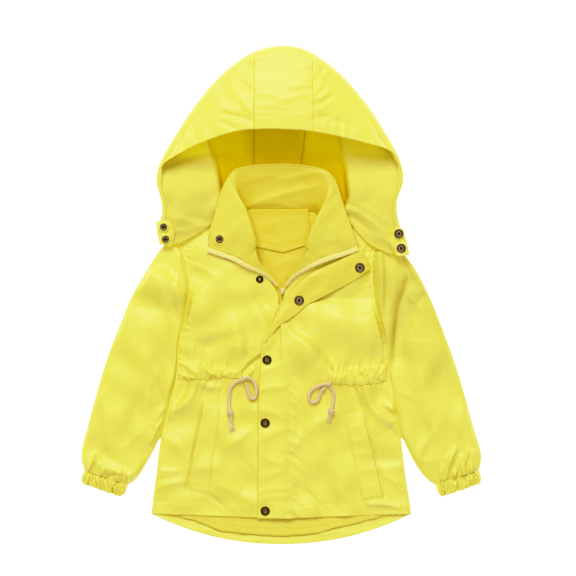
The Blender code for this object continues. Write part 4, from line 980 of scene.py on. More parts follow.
def sleeve_cloth(side, rows):
    """Flat cut and finished surface of a sleeve."""
    cut, upper, from_fold = pressed_tube(rows, side, *SLEEVE_GRID, SLEEVE_HEIGHT, SLEEVE_EDGE)
    sign = SIGN[side]
    x, y = cut[:, :, 0], cut[:, :, 1]
    from_hole = along_rows(cut)
    from_cuff = from_hole[-1:] - from_hole
    folds = creased(cut, SLEEVE_CREASES[side])
    box = (x.min(), y.min(), x.max(), y.max())
    folds += creased(cut, rumples(120 + side, 40, box, 40, 7, 0.9, 90 + 30 * sign, 35))
    folds += 1.6 * swells(x, y, 58, 125 + side)
    gather = np.exp(-from_cuff / 16)
    folds += 0.95 * gather * ripple(x + 0.25 * y, 13, 130 + side)
    folds += 0.3 * np.exp(-from_hole / 8) * ripple(y, 12, 140 + side)
    folds -= 0.9 * hump(from_cuff, 5)
    folds = np.where(upper, folds * ease(from_fold / 10), 0)
    top = cut.copy()
    z = top[:, :, 2]
    z += folds
    folds += SLEEVE_LEAN[side] * (y + 120 + np.hypot(y + 120, 30)) / 2
    meets = SEAM_Z + 1.4
    seam = hump(from_hole, 5)
    z[:] = np.where(upper, z * (1 - seam) + np.minimum(z, meets) * seam, z)
    z -= np.where(upper, 0.5 * hump(from_hole, 1.3), 0)
    z[:] = np.maximum(z, np.where(upper, 1.6 * rounded(from_fold, 3), 0))
    return cut, top, folds


sleeves, cuffs = {}, {}
for side, name, rows, cuff_rows in ((RIGHT, "right", SLEEVE_RIGHT, CUFF_RIGHT),
                                    (LEFT, "left", SLEEVE_LEFT, CUFF_LEFT)):
    order = SIGN[side]
    cut, top, folds = sleeve_cloth(side, rows)
    sleeves[side] = cloth_piece(f"sleeve_{name}_cloth", top[::order, ::-1], 0.5, [RAIN_CLOTH],
                                ring=True, folds=folds[::order, ::-1])
    sewn_in(sleeves[side], [f"sleeve_{name}"], "rain_cloth", cut)

    cut, upper, from_fold = pressed_tube(cuff_rows, side, *CUFF_GRID, CUFF_HEIGHT, CUFF_EDGE)
    from_top = along_rows(cut)
    from_rim = from_top[-1:] - from_top
    width = along_columns(cut)
    folds = creased(cut, CUFF_PLEATS[side])
    folds += CUFF_RUFFLE * ripple(width + 0.25 * from_top, CUFF_PITCH, 150 + side) - 0.4
    folds = np.where(upper, folds, 0)
    lift = folds * ease(from_fold / 4) * (1 - 0.4 * hump(from_top, 2.5))
    top = cut.copy()
    top[:, :, 2] += np.where(upper, lift - 1.2 * (1 - rounded(from_rim, 1.5)), 0)
    top[:, :, 1] -= 0.9 * folds * ease(from_fold / 4) * hump(from_rim, 5)
    top[:, :, 2] = np.maximum(top[:, :, 2], 0)
    cuffs[side] = cloth_piece(f"cuff_{name}_cloth", top[::order, ::-1], 0.6, [RAIN_CLOTH],
                              ring=True, folds=folds[::order, ::-1])
    sewn_in(cuffs[side], [f"cuff_{name}"], "rain_cloth", cut)

# ======== storm flap
# A double strip of the shell cloth over the zip, sewn along one edge to the left front. It lies closed
# below, and its top is turned out over the left front, so that its inner side shows there.
# Where it lies closed: free edge x, y, sewn edge x, y.
FLAP_ROWS = [
    (-39, -369, 16, -369), (-38.5, -285, 16, -285), (-38, -201, 16, -201), (-35, -124, 16, -124),
    (-31, -82, 16, -82), (-20, -54, 15.5, -54), (-10, -31, 15, -31), (-3, -18, 14, -18),
    (1, -10, 12, -10),
]
# Where it is turned out: fold or zip side x, y, z, free edge x, y, z.
FLAP_TURNED_ROWS = [
    (133, 80, 11, 147, 42, 9), (103, 61, 12.4, 119, 23, 8.6), (77, 49, 13, 93, 9, 8.4),
    (51, 37, 12.6, 66, -5, 8.4), (31, 21, 10.4, 43, -17, 8.6), (15, 5, 9.4, 26, -31, 9),
    (2, -14, 9.9, 9, -43, 9.6), (-8, -34, 10.1, -3, -51, 9.9), (-20, -57, 10.1, -15, -65, 10),
    (-29, -76, 10.1, -26, -79, 10.1),
]
FLAP_GRID, TURNED_GRID = (220, 44), (160, 54)
FLAP_SEWN = slice(26, 152)       # rows of its stitching, up to where it is turned out
TURNED_STITCH = 5.0              # from the turned part's free edge and from its end
FLAP_THICKNESS = 1.5
FOLD_FROM_Y = -86        # above this the closed part's edge is the fold
FOLD_RADIUS, FOLD_RISE, TIP_RISE = 3.2, 1.4, 1.6
FLAP_CREASES = [
    (-38, -158, 2, -152, 2, 8, 7, 3), (-34, -128, -6, -118, 2, 8, 8, 1.6),
    (-36, -188, 4, -204, 3, 8, 6, 2.4), (-30, -238, 8, -222, 3, 9, 8, 2.2),
    (-34, -262, 2, -278, -3, 8, 7, 2.4), (-30, -302, 6, -290, 2, 7, 8, 1.8),
    (-34, -324, 4, -320, 2, 5, 4, 2), (-30, -336, 6, -332, 2, 4, 4, 1.8),
    (-22, -92, 26, -46, 0, 8, 16, -1.2),
]
TURNED_CREASES = [
    (18, -18, 52, 26, 4, 8, 12, 2.1), (60, 0, 84, 40, -4, 9, 12, 1.8),
    (92, 20, 128, 66, 5, 12, 12, 1.6), (36, 22, 72, 34, 3, 8, 8, 1.5),
    (-14, -52, 8, -22, -2, 5, 7, 1.6), (40, -12, 78, 4, 3, 7, 8, 1.1),
]


def seat_of(node):
    """Middle of the back of a snap's solid, and the direction that it faces."""
    points = np.array([v.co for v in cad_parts[node].data.vertices]) / MM
    middle = points.mean(axis=0)
    facing = np.linalg.svd(points - middle)[2][2]
    facing *= np.sign(facing[2])
    return middle + facing * ((points - middle) @ facing).min(), facing


def pinched(top, nodes, reach=8.5, fade=7.0):
    """Draws cloth flat against the backs of the snaps that are set in it."""
    for seat, facing in (seat_of(node) for node in nodes):
        dx, dy = top[:, :, 0] - seat[0], top[:, :, 1] - seat[1]
        plane = seat[2] - (dx * facing[0] + dy * facing[1]) / facing[2]
        hold = ease((reach + fade - np.hypot(dx, dy)) / fade)
        top[:, :, 2] += (plane + 0.15 - top[:, :, 2]) * hold
    return top


flap_plan = grid_between(resample(FLAP_ROWS, FLAP_GRID[0]), FLAP_GRID[1])
flap_under = laid_on(flap_plan, tops_of(*fronts.values()), 4.5, 24) + 0.4
flap_cut = np.dstack((flap_plan, flap_under))
x, y = flap_plan[:, :, 0], flap_plan[:, :, 1]
from_free, from_hem = along_columns(flap_cut), along_rows(flap_cut)
from_sewn = from_free[:, -1:] - from_free
folded = ease((y - FOLD_FROM_Y) / 8)
flap_top = flap_cut.copy()
z = flap_top[:, :, 2]
loose = rounded(np.minimum(from_free, from_hem), 1.7)
z += FLAP_THICKNESS * (loose * (1 - folded) + folded)
z += FOLD_RISE * folded * (1 - rounded(from_free, FOLD_RADIUS))
sunk = tops_of(*fronts.values())(x[:, -1:], y[:, -1:]) - 0.25
seated = np.where(np.isfinite(sunk), sunk, flap_under[:, -1:])
z += (seated - z) * hump(from_sewn, 10)
z += creased(flap_cut, FLAP_CREASES) * ease(from_sewn / 6)
z += 0.3 * hump(from_sewn, 12) * ripple(y - 0.6 * x, 17, 161)
z += 0.35 * (1 - folded) * hump(from_free, 10) * (1 + ripple(y, 60, 162))
z -= 0.35 * hump(from_hem - HEM_BAND, 1.2)
flap_top = pinched(flap_top, ["snap_cap_top", "snap_cap_middle", "snap_cap_bottom"])
flap = cloth_piece("storm_flap_cloth", flap_top, 1.1, [RAIN_CLOTH])
sewn_in(flap, ["storm_flap"], "rain_cloth", flap_cut)

turned_cut = grid_between(resample(FLAP_TURNED_ROWS, TURNED_GRID[0]), TURNED_GRID[1])
x, y = turned_cut[:, :, 0], turned_cut[:, :, 1]
from_fold, from_end = along_columns(turned_cut), along_rows(turned_cut)
from_free = from_fold[:, -1:] - from_fold
folded = ease((9 - y[:, :1]) / 12)
edge = np.minimum(from_free, from_end)
turned_top = turned_cut.copy()
z = turned_top[:, :, 2]
z += 0.7 - 0.5 * (1 - rounded(edge, 1.6)) + TIP_RISE * ease((-14 - y) / 24)
z -= FOLD_RISE * folded * (1 - rounded(from_fold, FOLD_RADIUS))
z += creased(turned_cut, TURNED_CREASES) * ease(from_fold / 6)
z += 0.7 * hump(from_free, 14) * ripple(from_end, 46, 163)
z -= 0.3 * hump(edge - TURNED_STITCH, 1.1)
turned_top = pinched(turned_top, ["snap_socket_flap_upper", "snap_socket_flap_lower"])
turned = cloth_piece("storm_flap_turned_cloth", turned_top[::-1], 1.2, [FACING_CLOTH])
sewn_in(turned, ["storm_flap_turned"], "inner_cloth", turned_cut)
edge_column = int(np.argmax(from_free[50] < TURNED_STITCH))
end_row = int(np.argmax(from_end[:, 20] > TURNED_STITCH))
stitching("flap_stitching", [flap_plan[2:-4, -3], flap_plan[FLAP_SEWN, -7]], [flap], "rain_cloth")
stitching("turned_flap_stitching", [turned_cut[end_row:-8, edge_column, :2],
                                    turned_cut[end_row, 4:edge_column, :2]], [turned], "inner_cloth")

# ======== hood
# Three panels, two sides and a crown, sewn with gathered seams and lined in gold; the lining is drawn a
# deeper gold as painted shade of the hood's hollow. It is laid open: its back lies on the ground, the
# crown stands up over it, and the brim is a wide turned and stitched hem.
# Meridians from the right chin over the crown to the left chin: neck x, y, z, outline x, y, height
# of the lower layer there, radius of its turn, swell of the lower layer, opening edge x, y, z.
HOOD_ROWS = [
    (-188, 81, 13, -201, 96, 15, 1.6, 0, -196, 93, 18.4),
    (-168, 86, 12, -199, 119, 18, 1.6, 0, -193, 115, 21.4),
    (-150, 94, 11, -195, 139, 21, 1.6, 0, -189, 134, 24.5),
    (-132, 104, 10, -198, 160, 23, 1.8, 0, -191, 155, 27),
    (-114, 117, 9.5, -204, 183, 24, 2.2, 0, -196, 177, 29),
    (-99, 127, 9, -203, 203, 22, 4, 0, -196, 200, 31),
    (-86, 133, 8, -195, 226, 15, 9, 5, -193, 215, 36),
    (-74, 137, 7.5, -175, 261, 6, 14, 9, -172, 229, 43),
    (-64, 139, 4.5, -147, 305, 0.6, 18, 5, -139, 246, 51),
    (-56, 139, 1.5, -111, 350, 0.6, 19, 0, -99, 261, 58),
    (-50, 139, 0.6, -74, 383, 0.6, 19, 0, -68, 269, 62),
    (-45, 139, 0.6, -44, 401, 0.6, 19, 0, -44, 271, 64),
    (-21, 139, 0.6, -20, 408, 0.6, 19, 0, -15, 272, 65),
    (0, 139, 0.6, 3, 411, 0.6, 19, 0, 8, 271, 65),
    (14, 139, 0.6, 28, 408, 0.6, 19, 0, 31, 270, 65),
    (25, 139, 0.6, 53, 398, 0.6, 19, 0, 54, 267, 64),
    (41, 139, 0.6, 82, 378, 0.6, 19, 0, 79, 263, 62),
    (54, 139, 1.5, 112, 350, 0.6, 19, 0, 107, 257, 58),
    (64, 137, 5, 147, 307, 0.6, 18, 5, 144, 248, 51),
    (76, 134, 8, 175, 262, 6, 14, 9, 173, 240, 43),
    (87, 130, 8, 192, 231, 15, 9, 5, 190, 227, 36),
    (101, 125, 9, 200, 206, 22, 4, 0, 193, 205, 31),
    (116, 116, 9.5, 200, 183, 24, 2.2, 0, 192, 178, 29),
    (127, 102, 10, 191, 157, 23, 1.8, 0, 185, 152, 27),
    (142, 87, 11, 191, 135, 21, 1.6, 0, 186, 131, 24.5),
    (160, 76, 12, 196, 112, 18, 1.6, 0, 190, 109, 21.4),
    (183, 67, 13, 205, 86, 15, 1.6, 0, 199, 83, 18.4),
]
HOOD_SEAM_RIGHT, HOOD_SEAM_LEFT = 11, 15     # meridians of the two seams
LOWER_POINTS, TURN_POINTS, UPPER_POINTS = 44, 14, 54
SIDE_LINES, CENTRE_LINES = 170, 70           # meridians that each panel's cloth is made from
BRIM_SEWN_FROM, BRIM_SEWN_TO = 84, 86        # of those, where the brim's hem begins and ends
BRIM_ARCH = 0.05         # rise of the upper layer's arc, as a share of its length
HOOD_THICKNESS = 0.8
BRIM_BAND, BRIM_EXTRA = 20.0, 0.7
# Bunches across the brim's hem: x, width, height.
BRIM_BUNCHES = [
    (-171, 4, 1.3), (-161, 3.5, -1), (-149, 4.5, 1.6), (-140, 3.5, -1.1), (-128, 4.5, 1.6),
    (-115, 4, -0.7), (-100, 6, 1.2), (-84, 3, -0.5), (-62, 7, 0.7), (-40, 6, 0.3),
    (18, 7, 0.3), (62, 6, 0.6), (81, 3, -0.6), (89, 3, 1.1), (97, 2.5, -0.4), (105, 4, 1.1),
    (114, 3.5, -1), (124, 5, 0.9), (137, 6, 0.3), (146, 3, -0.6), (154, 3.5, 1.3),
    (160, 2.5, -0.6), (165, 3, 1.2), (171, 3, -0.9), (178, 3, 0.7),
]
CROWN_CREASES = [
    (-62, 386, -47, 375, 1, 3, 4, -1.8), (-64, 347, -46, 332, 1, 4, 5, -2.8),
    (-82, 336, -54, 306, 3, 12, 9, 2.2), (-106, 356, -86, 322, 3, 14, 12, -1.8),
    (-114, 312, -78, 300, 2, 10, 9, 2), (-92, 297, -48, 284, 2, 4, 5, -2.4),
    (-102, 285, -78, 274, 1, 4, 4, -1.9), (-163, 268, -160, 238, 1, 5, 4, -1.6),
    (-150, 262, -112, 298, 6, 12, 14, 1.4), (-48, 300, -62, 318, 1, 4, 5, 1.2),
    (-66, 366, -46, 358, 2, 5, 6, 0.9), (-60, 400, -46, 392, 1, 3, 4, 0.9),
    (-44, 362, 20, 367, 2, 8, 12, -1), (14, 341, 52, 344, 1, 4, 4, 1.3),
    (22, 334, 52, 337, 1, 3, 3, -1.1), (0, 318, 52, 331, 2, 4, 5, 1.6),
    (-44, 330, 6, 322, 3, 5, 6, 0.9), (-44, 311, 10, 306, 2, 4, 6, 1),
    (-40, 299, 46, 294, -2, 4, 5, 0.9), (-44, 390, -10, 384, 3, 6, 9, 0.9),
    (34, 399, 51, 394, 1, 3, 4, -1.8), (34, 364, 52, 368, 1, 4, 4, -1.6),
    (54, 346, 70, 372, 1, 4, 4, -3.2), (64, 344, 79, 369, 2, 5, 5, 2.6),
    (57, 321, 82, 340, -4, 4, 5, 2.2), (56, 312, 80, 326, -3, 3, 4, -2),
    (56, 303, 78, 314, -2, 4, 4, 1.8), (54, 287, 80, 293, 1, 4, 4, -2.6),
    (82, 286, 108, 282, 1, 4, 5, -2.6), (112, 280, 122, 276, 0, 4, 4, -1.6),
    (56, 384, 68, 374, 1, 3, 4, 1.4),
]
WING_CREASES = [
    (-190, 163, -174, 178, 2, 4, 5, 1.8), (-188, 142, -176, 156, 1, 4, 5, -1.6),
    (-178, 170, -112, 152, 6, 22, 26, 3.2), (-186, 128, -124, 108, 4, 9, 9, 2.8),
    (-160, 214, -132, 176, 6, 12, 14, 1.8), (-122, 130, -108, 152, 2, 6, 7, 1.6),
    (-176, 106, -140, 112, -3, 5, 7, 1.4), (-150, 128, -118, 120, 2, 5, 6, -1.4),
    (130, 214, 132, 142, 3, 8, 16, 3.6), (158, 214, 186, 190, 4, 12, 14, -1.8),
    (114, 142, 166, 104, 4, 5, 6, 2.8), (118, 150, 172, 122, 4, 4, 5, 1.8),
    (110, 132, 150, 100, 3, 3, 5, -1.8), (148, 99, 188, 80, 3, 8, 8, 2.6),
    (104, 150, 122, 146, 1, 3, 5, -2.2), (150, 176, 186, 150, 4, 9, 12, 1.6),
]
# The ridge where each wing drops away to the back of the neck, down from the brim: x, y.
RIDGE_RIGHT = [(-119, 256), (-114.5, 236), (-107, 207), (-100, 168), (-94, 140)]
RIDGE_LEFT = [(96, 256), (100, 236), (109, 207), (113, 160), (104, 140)]
RIDGE_RISE, RIDGE_FALL, DEEP_Z = 5.0, 7.5, 2.0
# The facing is drawn a little darker than the shell, as painted shade inside the hood.
WING_FACING = (0.80, 0.725, 0.094)   # past the ridge the inside is faced with the shell cloth
# Colour of the lining's painted glow.
PAINTED_GLOW_COLOUR = (0.20, 0.19, 0.002)


def hood_line(row):
    """The hood's cloth at one meridian: from the neck, round the outline, to the opening edge."""
    neck, out, edge = row[0:3], row[3:5], row[8:11]
    low_z, radius, swell = row[5:8]
    to_neck, to_edge = neck[:2] - out, edge[:2] - out
    inward = to_neck / np.linalg.norm(to_neck) + to_edge / np.linalg.norm(to_edge)
    inward /= np.linalg.norm(inward)
    f = np.arange(LOWER_POINTS) / LOWER_POINTS
    lower = neck[:2] + (out + inward * radius - neck[:2]) * f[:, None]
    lower_z = neck[2] + (low_z - neck[2]) * ease(1.6 * f)
    lower_z += swell * ease(4 * f - 0.8) * ease(3 - 3 * f)
    angle = np.linspace(-pi / 2, pi / 2, TURN_POINTS)
    turn = out + inward * (radius * (1 - np.cos(angle)))[:, None]
    turn_z = low_z + radius * (1 + np.sin(angle))
    high = np.array((*turn[-1], turn_z[-1]))
    f = np.arange(1, UPPER_POINTS + 1) / UPPER_POINTS
    upper = high + (edge - high) * f[:, None]
    upper[:, 2] += BRIM_ARCH * np.linalg.norm(edge - high) * np.sin(pi * f) * ease(radius / 10)
    return np.vstack((np.column_stack((lower, lower_z)), np.column_stack((turn, turn_z)), upper))


def grid_normals(grid):
    """Unit normals of a grid, on the side that its faces look to."""
    normal = np.cross(np.gradient(grid, axis=1), np.gradient(grid, axis=0))
    return normal / np.linalg.norm(normal, axis=2)[:, :, None]


def hood_panel(node, first, last, count, seams):
    """One panel of the hood, between two meridians; seams says which of them is sewn."""
    middle = np.array([hood_line(on_curve(HOOD_ROWS, t)) for t in np.linspace(first, last, count)])
    top = middle + grid_normals(middle) * HOOD_THICKNESS / 2
    z = top[:, :, 2]
    x, y = middle[:, :, 0], middle[:, :, 1]
    column = np.arange(middle.shape[1])[None, :]
    over = ease((column - LOWER_POINTS - TURN_POINTS / 2) / TURN_POINTS + 0.5)
    under = ease((LOWER_POINTS + 2 - column) / 8)
    from_neck = along_columns(middle)
    from_brim = from_neck[:, -1:] - from_neck
    crown = ease((middle[:, -1:, 2] - 28) / 14)

    facing, beside = np.full(x.shape, -20.0), np.full(x.shape, -80.0)
    for line, sign in ((RIDGE_RIGHT, -1), (RIDGE_LEFT, 1)):
        points = np.array(line[::-1], float)
        ahead = sign * (x - np.interp(y, points[:, 1], points[:, 0]))
        facing = np.where(sign * x > 55, np.clip(ahead, -20, 20), facing)
        beside = np.where(sign * x > 20, ahead, beside)
        near = ease((sign * x - 55) / 20) * ease((262 - y) / 22) * ease((y - 128) / 14) * under
        rise = RIDGE_RISE * hump(np.maximum(ahead, 0), 16)
        raised = z + rise
        held = ease((ahead + RIDGE_FALL) / RIDGE_FALL)
        sunk = DEEP_Z + (raised - DEEP_Z) * held
        z += (np.minimum(sunk, raised) - z) * near
    z += creased(middle, WING_CREASES) * under * ease(from_neck / 8)

    folds = creased(middle, CROWN_CREASES)
    box = (x.min(), 240, x.max(), 400)
    folds += creased(middle, rumples(170 + count, 34, box, 40, 8, 0.5, 80, 50))
    band = (1 - ease((from_brim - BRIM_BAND + 1.5) / 3)) * crown
    folds += BRIM_EXTRA * band - 0.55 * crown * hump(from_brim - BRIM_BAND - 0.5, 1.3)
    bunches = sum(height * hump(x - place, width) for place, width, height in BRIM_BUNCHES)
    reach = np.exp(-np.maximum(from_brim - BRIM_BAND, 0) / 6)
    folds += (bunches + 0.22 * ripple(x, 9, 171)) * crown * reach * (0.45 + 0.55 * ease(from_brim / 7))
    z += folds * over
    z -= 0.6 * crown * (1 - rounded(from_brim, 1.4))

    seam_rows = along_rows(middle)
    for end, there in (("first", seam_rows), ("last", seam_rows[-1:] - seam_rows)):
        if end in seams:
            gather = np.exp(-there / 8) * ripple(from_brim, 16, 172 + len(end)) * 0.45 * over
            z += gather - 0.15 * hump(there, 1.3) * over
            z += 0.3 * hump(there - 4, 2.5) * over
            z += 2.2 * under * (1 - hump(there, 2.4)) * hump(there, 30)
            z -= 0.3 * hump(there - 6.5, 1.0) * over
    z[:] = np.maximum(z, 0.05)
    piece = cloth_piece(node + "_cloth", top, HOOD_THICKNESS, [RAIN_CLOTH, HOOD_LINING_PAINTED_LIGHT])
    keep_values(piece, "past_ridge", facing)
    # Painted light: how much the lining glows, most beside the ridges and towards the brim, less on the
    # seams.
    painted_glow = (0.62 + 0.55 * ease((beside + 72) / 24)) * (0.6 + 0.4 * ease((y - 222) / 18))
    painted_glow *= (1 - ease((beside + 2) / 4)) * under * ease((y - 180) / 45)
    painted_glow += np.where(x < 0, 1.35, 0.9) * ease((beside + 2) / 8) * ease((y - 212) / 26) * under
    for end, there in (("first", along_rows(middle)), ("last", along_rows(middle[::-1])[::-1])):
        painted_glow *= 1 - (end in seams) * 0.85 * hump(there, 1.7)
    keep_values(piece, "painted_glow_share", painted_glow)
    sewn_in(piece, [node], "rain_cloth", middle)
    return piece, top, from_brim


# The lining's deep gold is partly its own colour and partly painted shade of the hood's hollow; past each
# ridge it gives way to the facing.
HOOD_LINING_PAINTED_LIGHT = cloth_material("hood_lining_painted_light", (0.67, 0.50, 0.003), (0.65, 0.48, 0.002),
                             0.5, 0.0, 1.1, gloss_level=0.06)
two_cloths(HOOD_LINING_PAINTED_LIGHT, "past_ridge", -4.0, 4.0, WING_FACING)
# The crown is thin and lets some light through to the sides of the lining under it; the lining's glow
# there is painted light in place of that, left off along the seams.
tree = HOOD_LINING_PAINTED_LIGHT.node_tree
painted_glow = two_tones(tree, attribute(tree, "painted_glow_share"), (0, 0, 0), PAINTED_GLOW_COLOUR, clamp_factor=False)
set_inputs(tree, tree.nodes["Principled BSDF"], {"Emission Color": painted_glow, "Emission Strength": 1.0})
SEAM_GAP = 0.0005         # between two panels at a seam, in meridians
hood_right, right_top, right_brim = hood_panel(
    "hood_side_right", 0, HOOD_SEAM_RIGHT - SEAM_GAP, SIDE_LINES, ("last",))
hood_centre, centre_top, centre_brim = hood_panel(
    "hood_centre", HOOD_SEAM_RIGHT + SEAM_GAP, HOOD_SEAM_LEFT - SEAM_GAP, CENTRE_LINES,
    ("first", "last"))
hood_left, left_top, left_brim = hood_panel(
    "hood_side_left", HOOD_SEAM_LEFT + SEAM_GAP, len(HOOD_ROWS) - 1, SIDE_LINES, ("first",))

brim_lines = []
for top, from_brim, rows in ((right_top, right_brim, slice(BRIM_SEWN_FROM, None)),
                             (centre_top, centre_brim, slice(None)),
                             (left_top, left_brim, slice(None, BRIM_SEWN_TO))):
    columns = [int(np.argmax(line < BRIM_BAND)) for line in from_brim]
    brim_lines.append(top[np.arange(len(top)), columns, :2][rows])
upper_seam = slice(LOWER_POINTS + TURN_POINTS + 2, -2)
brim_lines += [right_top[-7, upper_seam, :2], left_top[6, upper_seam, :2]]
stitching("hood_stitching", brim_lines, [hood_right, hood_centre, hood_left], "rain_cloth")

# ======== hood tabs
# A short double tab of the shell cloth at each chin, rounded at its inner end and stitched round. Two
# snaps are set in it, to fasten the hood across the throat.
# Rows down the tab: x, y of its outer end, x, y of its inner end.
TAB_RIGHT = [(-206, 121, -184, 126), (-204, 102, -174, 106), (-200, 84, -180, 79)]
TAB_LEFT = [(201, 110, 184, 116), (207, 89, 178, 88), (212, 66, 190, 63)]
TAB_THICKNESS, TAB_SEEN, TAB_CORNER = 1.5, 1.2, 6.0
TAB_GRID = (70, 46)
TAB_SNAPS = {
    "right": ["snap_hood_right_upper", "snap_hood_right_lower"],
    "left": ["snap_hood_left_upper", "snap_hood_left_lower"],
}

tabs, tab_lines = {}, []
for name, rows, carrier in (("right", TAB_RIGHT, hood_right), ("left", TAB_LEFT, hood_left)):
    plan = grid_between(resample(rows, TAB_GRID[0]), TAB_GRID[1])
    from_row = along_rows(np.dstack((plan, np.zeros(plan.shape[:2]))))
    from_row = np.minimum(from_row, from_row[-1:] - from_row)[:, -1:]
    inner = plan[:, -1:] - plan[:, :1]
    shorter = TAB_CORNER * (1 - rounded(from_row, TAB_CORNER)) / np.linalg.norm(inner, axis=2)
    share = np.linspace(0, 1, TAB_GRID[1])[None, :] * (1 - shorter)
    plan = plan[:, :1] + inner * share[:, :, None]
    under = laid_on(plan, tops_of(carrier), 3.0, 14) + 0.5
    cad_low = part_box("hood_tab_" + name)[0][2] / MM
    cut = np.dstack((plan, np.maximum(under, cad_low)))
    across, down = along_columns(cut), along_rows(cut)
    edge = np.minimum(np.minimum(across, across[:, -1:] - across),
                      np.minimum(down, down[-1:] - down))
    top = cut.copy()
    z = top[:, :, 2]
    z += TAB_THICKNESS * rounded(edge, 1.6) - 0.35 * hump(edge - 3.2, 1.0)
    z += 0.3 * ripple(plan[:, :, 0] + plan[:, :, 1], 16, 181)
    top = pinched(top, TAB_SNAPS[name], 7.0, 4.0)
    order = -1 if name == "right" else 1
    tabs[name] = cloth_piece(f"hood_tab_{name}_cloth", top[::order], TAB_SEEN, [RAIN_CLOTH])
    sewn_in(tabs[name], ["hood_tab_" + name], "rain_cloth", cut)
    tab_lines += [plan[5:-5, -6], plan[5, 3:-5], plan[-6, 3:-5]]
stitching("tab_stitching", tab_lines, tabs.values(), "rain_cloth", step=2.8)

# ======== collar and facings
# A stand collar of two layers with a stiffener, opened out flat, so that its lining side shows. The
# facings carry that side on down to the zip's slider. Its top edge is stitched round.
# Collar from the right zip edge round the neck to the left one: neck seam x, y, z, roll line x, y, z,
# top edge x, y, z.
COLLAR_ROWS = [
    (-62, 57, 17, -76, 64, 16.4, -119.6, 79.2, 13),
    (-48, 71, 21, -56, 75, 21, -120, 91, 14.5),
    (-45, 79, 20, -45, 86, 26, -118, 106, 17),
    (-51, 97, 12, -47, 104, 29, -112, 125, 18),
    (-59, 114, 9, -52, 123, 30, -106, 148, 19),
    (-65, 127, 8, -60, 144, 30, -100, 169, 21),
    (-63, 135, 7, -70, 163, 28, -92, 186, 23),
    (-51, 139, 5, -71, 183, 23, -79, 205, 23),
    (-31, 140, 4, -48, 185, 12, -54, 213, 19),
    (0, 141, 3.6, 0, 180, 8, 0, 217, 15),
    (28, 140, 4, 36, 183, 10, 41, 214, 18),
    (50, 138, 6, 68, 183, 21, 74, 206, 22),
    (61, 132, 8, 77, 161, 27, 89, 191, 23),
    (64, 120, 9, 63, 134, 30, 97, 170, 21),
    (58, 107, 10, 52, 111, 30, 106, 142, 19),
    (50, 94, 14, 46, 92, 28, 114, 120, 18),
    (45, 81, 20, 46, 81, 25, 120, 102, 17),
    (48, 71, 21, 58, 75, 21, 125, 90, 14.5),
    (64, 60, 17, 76, 64.3, 16.4, 125.5, 80.5, 13),
]
# Facings from the collar down: roll line x, y, z, zip edge x, y, z.
FACING_RIGHT = [
    (-48.5, 93, 26, -76, 64.5, 15.8), (-44, 84, 24, -68, 60.5, 16.2), (-41, 75, 21.6, -60, 56, 16.6),
    (-39, 65, 22, -50, 49.8, 16.4), (-34, 53, 19, -39, 44.3, 15.3),
    (-25, 42, 15.5, -26.5, 36.9, 13.9), (-12, 28, 13.5, -13.5, 25.8, 13),
]
FACING_LEFT = [
    (48.5, 92, 26, 79, 65.8, 15.8), (45.5, 84, 24, 70, 63, 16.2), (43.5, 75, 21.6, 62, 59.1, 16.6),
    (40, 65, 22, 50, 52.8, 16.4), (33, 52, 19, 35, 43.3, 15.3),
    (23, 40, 15.5, 25.5, 36.2, 13.9), (11, 27.5, 13.5, 13, 25.5, 13),
]
# Where the lapels roll over, up from the neck: x, y. Past it they show in the cloth's own paler tone;
# short of it the collar is drawn darker, as painted shade.
LAPEL_RIGHT = [(-44, 60), (-46, 100), (-52, 123), (-60, 144), (-71, 165), (-84, 188), (-92, 206)]
LAPEL_LEFT = [(45, 60), (46, 92), (52, 111), (62, 134), (74, 160), (86, 186), (94, 202)]
LAPEL_OWN_TONE = (0.82, 0.73, 0.070)
COLLAR_GRID, FACING_GRID = (165, 54), (80, 30)
COLLAR_THICKNESS = 1.8
COLLAR_STITCH = 4.0      # from its top edge
NECK_LOW = 1.9           # at the back its neck edge lies under the patch's
COLLAR_CREASES = [
    (-52, 146, 52, 177, 4, 7, 11, 2.5), (6, 190, 72, 203, 2, 6, 8, 1.8),
    (-60, 186, -20, 197, 2, 8, 8, 1.2), (-86, 74, -66, 118, 4, 9, 8, 2.4),
    (-94, 128, -70, 152, 2, 8, 10, 1.2), (88, 108, 106, 86, -2, 5, 6, 2),
    (78, 92, 98, 84, 2, 4, 5, 0.7), (70, 128, 94, 152, 2, 9, 9, 1.1),
    (-20, 152, 10, 148, 2, 6, 7, 1.2),
]

# The collar's lining side in a darker copy of the facing cloth: painted shade, which gives way to the
# lapels' own tone past the roll line.
COLLAR_CLOTH_PAINTED_SHADE = cloth_material("collar_cloth", (0.76, 0.63, 0.046), (0.74, 0.61, 0.040),
                              0.5, 0.03, 1.0)
two_cloths(COLLAR_CLOTH_PAINTED_SHADE, "past_roll", -1.0, 1.0, LAPEL_OWN_TONE)
collar_cut = np.array([even_lengths(row.reshape(3, 3), COLLAR_GRID[1])
                       for row in resample(COLLAR_ROWS, COLLAR_GRID[0])])
normal = -grid_normals(collar_cut)
x, y = collar_cut[:, :, 0], collar_cut[:, :, 1]
from_neck, from_start = along_columns(collar_cut), along_rows(collar_cut)
from_edge = from_neck[:, -1:] - from_neck
folds = creased(collar_cut, COLLAR_CREASES) * ease(from_edge / 9)
folds += 0.2 * hump(from_edge, 7) * ripple(from_start, 12, 191)
folds -= 0.5 * hump(from_edge - COLLAR_STITCH, 1.1)
folds -= 0.7 * (1 - rounded(from_edge, 1.3))
collar_top = collar_cut + normal * (COLLAR_THICKNESS / 2 + folds)[:, :, None]
z = collar_top[:, :, 2]
from_end = np.minimum(from_start, from_start[-1:] - from_start)
z -= 0.9 * hump(from_neck, 4) * (1 - ease((from_end - 14) / 12))
z += (NECK_LOW - z[:, :1]) * hump(from_neck, 9) * ease((collar_cut[:, :1, 1] - 110) / 12)
